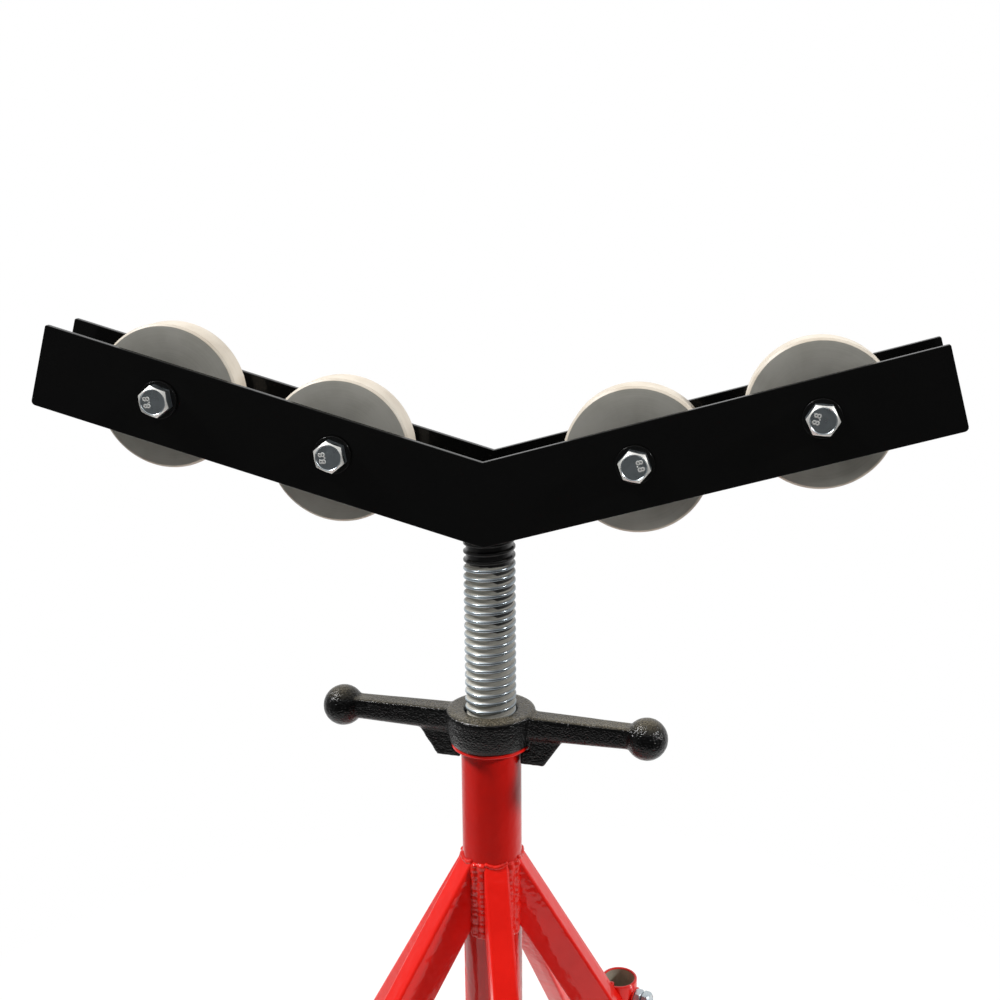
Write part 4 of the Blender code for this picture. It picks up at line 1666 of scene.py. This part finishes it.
@dataclass
class Roller:
    """A wheel with its bearings and bushes."""

    number: int
    body: Body
    chamfer: float = 0.0022
    tread_easing: float = 0.001
    face_easing: float = 0.0004
    seat: float = 0.0238  # radius of a bearing's seat
    seat_deep: float = 0.0128
    seat_easing: float = 0.0006
    shoulder: float = 0.020
    bearing: float = 0.0235
    bearing_bore: float = 0.0125
    bearing_easings: Point = (0.0007, 0.0005)  # outside and in the bore
    race_wall: float = 0.003
    race_edge: float = 0.0002
    shield_back: float = 0.0007
    collar: float = 0.016
    collar_easing: float = 0.0006
    spigot: float = 0.0122
    bush_bore: float = 0.0093
    bush_gap: float = 0.0002  # by which a bush's collar reaches past the wheel's face
    bush_edges: Point = (0.0004, 0.0003)  # at the collar and at the spigot

    def build(self) -> Vector:
        """Builds the wheel and what it runs on.

        Returns:
            The wheel's centre.
        """
        span = Span.of(f"wheel_{self.number}")
        centre = span.centre
        along = moved(centre.x, 0, centre.z) @ turn("X", -90)
        self.wheel(span, along)
        for tag in ("front", "rear"):
            self.race(tag, along)
            self.bush(tag, along)
        return centre

    def wheel(self, span: Span, along: Matrix) -> None:
        """Builds the wheel: turned faces, a tread and a chamfer between them, the last two a lighter
        cream that is partly painted light.

        Args:
            span: The CAD node's box.
            along: The axle, with local Z towards the back plate.
        """
        rim, half, flat = span.size.z / 2, span.size.y / 2, self.chamfer
        step, face, tread = half - self.seat_deep, self.face_easing, self.tread_easing
        section = [(rim - flat, half, face), (rim, half - flat, tread), (rim, flat - half, tread),
                   (rim - flat, -half, face), (self.seat, -half, self.seat_easing),
                   (self.seat, -step, 0), (self.shoulder, -step, 0), (self.shoulder, step, 0),
                   (self.seat, step, 0), (self.seat, half, self.seat_easing)]
        mesh = Bench.turned(Bench.softened(section), 144, along)
        axis = Vector((along.translation.x, along.translation.z))
        # Tread and chamfer take the lighter cream, partly painted light.
        for polygon in mesh.polygons:
            away = (polygon.center.xz - axis).length
            polygon.material_index = int(away > rim - flat - face / 2)
        Bench.piece(f"roller_wheel_{self.number}", mesh, self.body, [WHEEL_FACE, WHEEL_TREAD_PAINTED_LIGHTER],
                    f"wheel_{self.number}")

    def race(self, tag: str, along: Matrix) -> None:
        """Builds a bearing, with its shield set back between the two rings.

        Args:
            tag: Which of the wheel's two it is.
            along: The axle, with local Z towards the back plate.
        """
        node = f"bearing_{self.number}_{tag}"
        span = Span.of(node)
        low, high, back = span.low.y, span.high.y, self.shield_back
        outer, bore, edge = self.bearing, self.bearing_bore, self.race_edge
        outside, inside = self.bearing_easings
        cup, cone = outer - self.race_wall, bore + self.race_wall
        section = [(outer, high, outside), (outer, low, outside), (cup, low, edge),
                   (cup, low + back, 0), (cone, low + back, 0), (cone, low, edge),
                   (bore, low, inside), (bore, high, inside), (cone, high, edge),
                   (cone, high - back, 0), (cup, high - back, 0), (cup, high, edge)]
        mesh = Bench.turned(Bench.softened(section, 3), 72, along)
        Bench.piece(f"ball_bearing_{self.number}_{tag}", mesh, self.body, [GROUND_STEEL], node)

    def bush(self, tag: str, along: Matrix) -> None:
        """Builds a stepped bush.

        Args:
            tag: Which of the wheel's two it is.
            along: The axle, with local Z towards the back plate.
        """
        node = f"bush_{self.number}_{tag}"
        span = Span.of(node)
        flip = 1 if tag == "rear" else -1
        near, far = sorted((abs(span.low.y), abs(span.high.y)))
        step = Span.of(f"wheel_{self.number}").size.y / 2 - self.bush_gap
        edge, thin = self.bush_edges
        section = [(self.collar, far, self.collar_easing), (self.collar, step, edge),
                   (self.spigot, step, 0), (self.spigot, near, thin),
                   (self.bush_bore, near, thin), (self.bush_bore, far, edge)]
        profile = [(r, z * flip) for r, z in Bench.softened(section, 3)]
        mesh = Bench.turned(profile, 72, along)
        Bench.piece(f"stepped_{node}", mesh, Body.HEAD, [BRIGHT_ZINC], node)


@dataclass
class Head:
    """The V head: two plates, their welds to the screw, and the four rollers."""

    welder: Welder
    threads: ThreadTree
    easing: float = 0.0009
    bolt_turns: tuple[float, ...] = (171.3, 171.0, -20.0, 213.0)
    figure_turns: tuple[float, ...] = (-93.0, -92.0, -93.0, -70.0)
    bead: Bead = Bead(0.0034, 17)
    bead_aside: float = 0.011  # of the screw's axis
    bead_off: float = 0.0018  # of the plates

    def build(self) -> None:
        """Builds plates, welds, rollers and bolts."""
        for node in ("front_plate", "back_plate"):
            mesh = Bench.eased(node, self.easing, 3)
            Bench.piece(node.replace("plate", "v_plate"), mesh, Body.HEAD, [BLACK_ENAMEL], node)
        self.welds()
        bodies = (Body.ROLLER_1, Body.ROLLER_2, Body.ROLLER_3, Body.ROLLER_4)
        turns = zip(bodies, self.bolt_turns, self.figure_turns)
        for number, (body, bolt_turn, figure_turn) in enumerate(turns, 1):
            centre = Roller(number, body).build()
            AxleBolt(number, bolt_turn, figure_turn, self.threads).build(centre)

    def welds(self) -> None:
        """Lays the beads between the screw's flanks and the plates."""
        above, below, steps = 0.006, 0.004, 12
        low = Span.of("front_plate").low.z + above
        high = Span.of("jack_screw").high.z - below
        inner = -Span.of("front_plate").high.y - self.bead_off
        runs = [[Vector((x, y, low + (high - low) * i / steps)) for i in range(steps + 1)]
                for x in (-self.bead_aside, self.bead_aside) for y in (-inner, inner)]
        self.welder.lay("head_welds", self.bead, runs, Body.HEAD, BLACK_WELD)


@dataclass
class PhotoCamera:
    """The camera, with the photograph's viewing angle and frame."""

    yaw: float = 6.515
    pitch: float = 14.106
    roll: float = 0.435
    focal_px: float = 1314.5
    centre_px: Point = (581.6, 501.0)
    frame_px: float = 1000.0
    sensor_mm: float = 36.0
    aim: Corner = (0.0894, 0.0, 0.8183)
    distance: float = 1.2478

    def build(self) -> None:
        """Adds the camera and makes it the scene's own."""
        yaw, pitch, roll = (math.radians(a) for a in (self.yaw, self.pitch, self.roll))
        ahead = Vector((-math.sin(yaw) * math.cos(pitch), math.cos(yaw) * math.cos(pitch),
                        -math.sin(pitch)))
        level = ahead.cross(Vector((0, 0, 1))).normalized()
        upright = level.cross(ahead)
        right = level * math.cos(roll) + upright * math.sin(roll)
        up = upright * math.cos(roll) - level * math.sin(roll)
        data = bpy.data.cameras.new("camera")
        data.sensor_fit = "HORIZONTAL"
        data.sensor_width = self.sensor_mm
        data.lens = self.sensor_mm * self.focal_px / self.frame_px
        data.shift_x = 0.5 - self.centre_px[0] / self.frame_px
        data.shift_y = self.centre_px[1] / self.frame_px - 0.5
        data.clip_start, data.clip_end = 0.05, 60
        made = Bench.linked("camera", data)
        turned = Matrix((right, up, -ahead)).transposed().to_4x4()
        made.matrix_world = moved(*(Vector(self.aim) - ahead * self.distance)) @ turned
        bpy.context.scene.camera = made


@dataclass
class Studio:
    """Plain pale floor in white surroundings that are dark in front, and two soft lamps."""

    floor: float = 0.9
    floor_fades: Point = (0.38, 0.9)  # from its own colour to plain white, by distance
    floor_colour: str = "#E9E9E7"
    white: str = "#FFFFFF"
    key: float = 3.4
    key_toward: Corner = (-0.66, -0.12, 0.74)
    key_spread: float = 14.0
    fill: float = 2.0
    fill_toward: Corner = (0.87, -0.15, 0.47)
    fill_spread: float = 6.0
    ambient: float = 0.42  # of the panorama's light, for what isn't mirrored
    ceiling: float = 0.85
    ceiling_rises: Point = (0.55, 0.80)  # from none to full, by the sine of the height
    # Brightness by azimuth, from behind the stand over its left, front and right to behind.
    panorama: tuple[Point, ...] = (
        (-180, 1.0), (-130, 0.8), (-105, 0.32), (-60, 0.26), (-35, 0.10), (70, 0.08),
        (100, 0.40), (125, 0.90))

    def build(self) -> None:
        """Adds the floor, the world and the lamps."""
        self.ground()
        self.world()
        self.lamp("key", self.key_toward, self.key_spread, self.key)
        self.lamp("fill", self.fill_toward, self.fill_spread, self.fill)
        bpy.context.scene.view_settings.view_transform = "Standard"

    def lamp(self, name: str, toward: Corner, spread: float, power: float) -> None:
        """Adds a far lamp.

        Args:
            name: Its name.
            toward: Direction from the stand to the lamp.
            spread: Its size in the sky, in degrees.
            power: What it sheds on a face that looks at it; pi renders white as white.
        """
        data = bpy.data.lights.new(name, "SUN")
        data.angle = math.radians(spread)
        data.energy = power
        made = Bench.linked(name, data)
        made.rotation_euler = Vector(toward).to_track_quat("Z", "Y").to_euler()

    def ground(self) -> None:
        """Adds the floor, which keeps a shadow near the stand and is plain white further out."""
        work = bmesh.new()
        bmesh.ops.create_circle(work, cap_ends=True, segments=96, radius=self.floor)
        mesh = bpy.data.meshes.new("floor")
        work.to_mesh(mesh)
        work.free()
        material = bpy.data.materials.new("plain_floor")
        material.use_nodes = True
        material.node_tree.nodes.clear()
        g = Graph(material.node_tree)
        away = g.add("ShaderNodeVectorMath",
                     {0: g.add("ShaderNodeTexCoord").outputs["Object"]}, operation="LENGTH")
        far = g.add("ShaderNodeMapRange",
                    {"Value": away.outputs["Value"], "From Min": self.floor_fades[0],
                     "From Max": self.floor_fades[1]})
        path = g.add("ShaderNodeLightPath")
        seen = g.add("ShaderNodeMath", {0: path.outputs["Is Camera Ray"],
                                        1: path.outputs["Is Glossy Ray"]}, operation="MAXIMUM")
        seen = g.add("ShaderNodeMath", {0: seen, 1: path.outputs["Is Transmission Ray"]},
                     operation="MAXIMUM")
        share = g.add("ShaderNodeMath", {0: seen, 1: far}, operation="MULTIPLY")
        diffuse = g.add("ShaderNodeBsdfDiffuse", {"Color": linear(self.floor_colour)})
        glow = g.add("ShaderNodeEmission", {"Color": linear(self.white), "Strength": 1.0})
        surface = g.add("ShaderNodeMixShader", {0: share, 1: diffuse, 2: glow})
        g.add("ShaderNodeOutputMaterial", {"Surface": surface})
        mesh.materials.append(material)
        Bench.linked("floor", mesh)

    def world(self) -> None:
        """Sets the world: white to the camera, and the panorama to everything else."""
        world = bpy.data.worlds.new("studio")
        world.use_nodes = True
        world.node_tree.nodes.clear()
        g = Graph(world.node_tree)
        toward = g.add("ShaderNodeSeparateXYZ",
                       {0: g.add("ShaderNodeTexCoord").outputs["Generated"]})
        front = g.add("ShaderNodeMath", {0: toward.outputs["Y"], 1: -1.0}, operation="MULTIPLY")
        azimuth = g.add("ShaderNodeMath", {0: toward.outputs["X"], 1: front},
                        operation="ARCTAN2")
        share = g.add("ShaderNodeMapRange",
                      {"Value": azimuth, "From Min": -math.pi, "From Max": math.pi})
        ramp = g.add("ShaderNodeValToRGB", {0: share})
        stops = ramp.color_ramp.elements
        while len(stops) < len(self.panorama):
            stops.new(0.5)
        for stop, (angle, level) in zip(stops, self.panorama):
            stop.position = angle / 360 + 0.5
            stop.color = (level, level, level, 1)
        # A pale ceiling closes the panorama overhead.
        rises = g.add("ShaderNodeMapRange",
                      {"Value": toward.outputs["Z"], "From Min": self.ceiling_rises[0],
                       "From Max": self.ceiling_rises[1]}, interpolation_type="SMOOTHSTEP")
        around = g.add("ShaderNodeMix",
                       {0: rises, 2: ramp.outputs["Color"], 3: self.ceiling})
        path = g.add("ShaderNodeLightPath")
        soft = g.add("ShaderNodeMath", {0: around, 1: self.ambient}, operation="MULTIPLY")
        level = g.add("ShaderNodeMix", {0: path.outputs["Is Diffuse Ray"], 2: around, 3: soft})
        shown = g.add("ShaderNodeMix", {0: path.outputs["Is Camera Ray"], 2: level, 3: 1.0})
        light = g.add("ShaderNodeBackground", {"Color": linear(self.white), "Strength": shown})
        g.add("ShaderNodeOutputWorld", {"Surface": light})
        bpy.context.scene.world = world


def corners(box: tuple[Vector, Vector]) -> list[list[float]]:
    """Turns a box's two corners into plain lists of numbers."""
    return [[float(value) for value in corner] for corner in box]


def main() -> None:
    """Builds the stand's looks, the studio and the camera, in order."""
    logging.basicConfig(level=logging.INFO, format="%(name)s %(message)s", stream=sys.stdout)
    threads, welder = ThreadTree(), Welder(WeldTree())
    base = Base(welder)
    base.build()
    AccessorySocket(welder, base, threads).build()
    Jack(threads).build()
    Head(welder, threads).build()
    Studio().build()
    PhotoCamera().build()


if __name__ == "__main__":
    main()
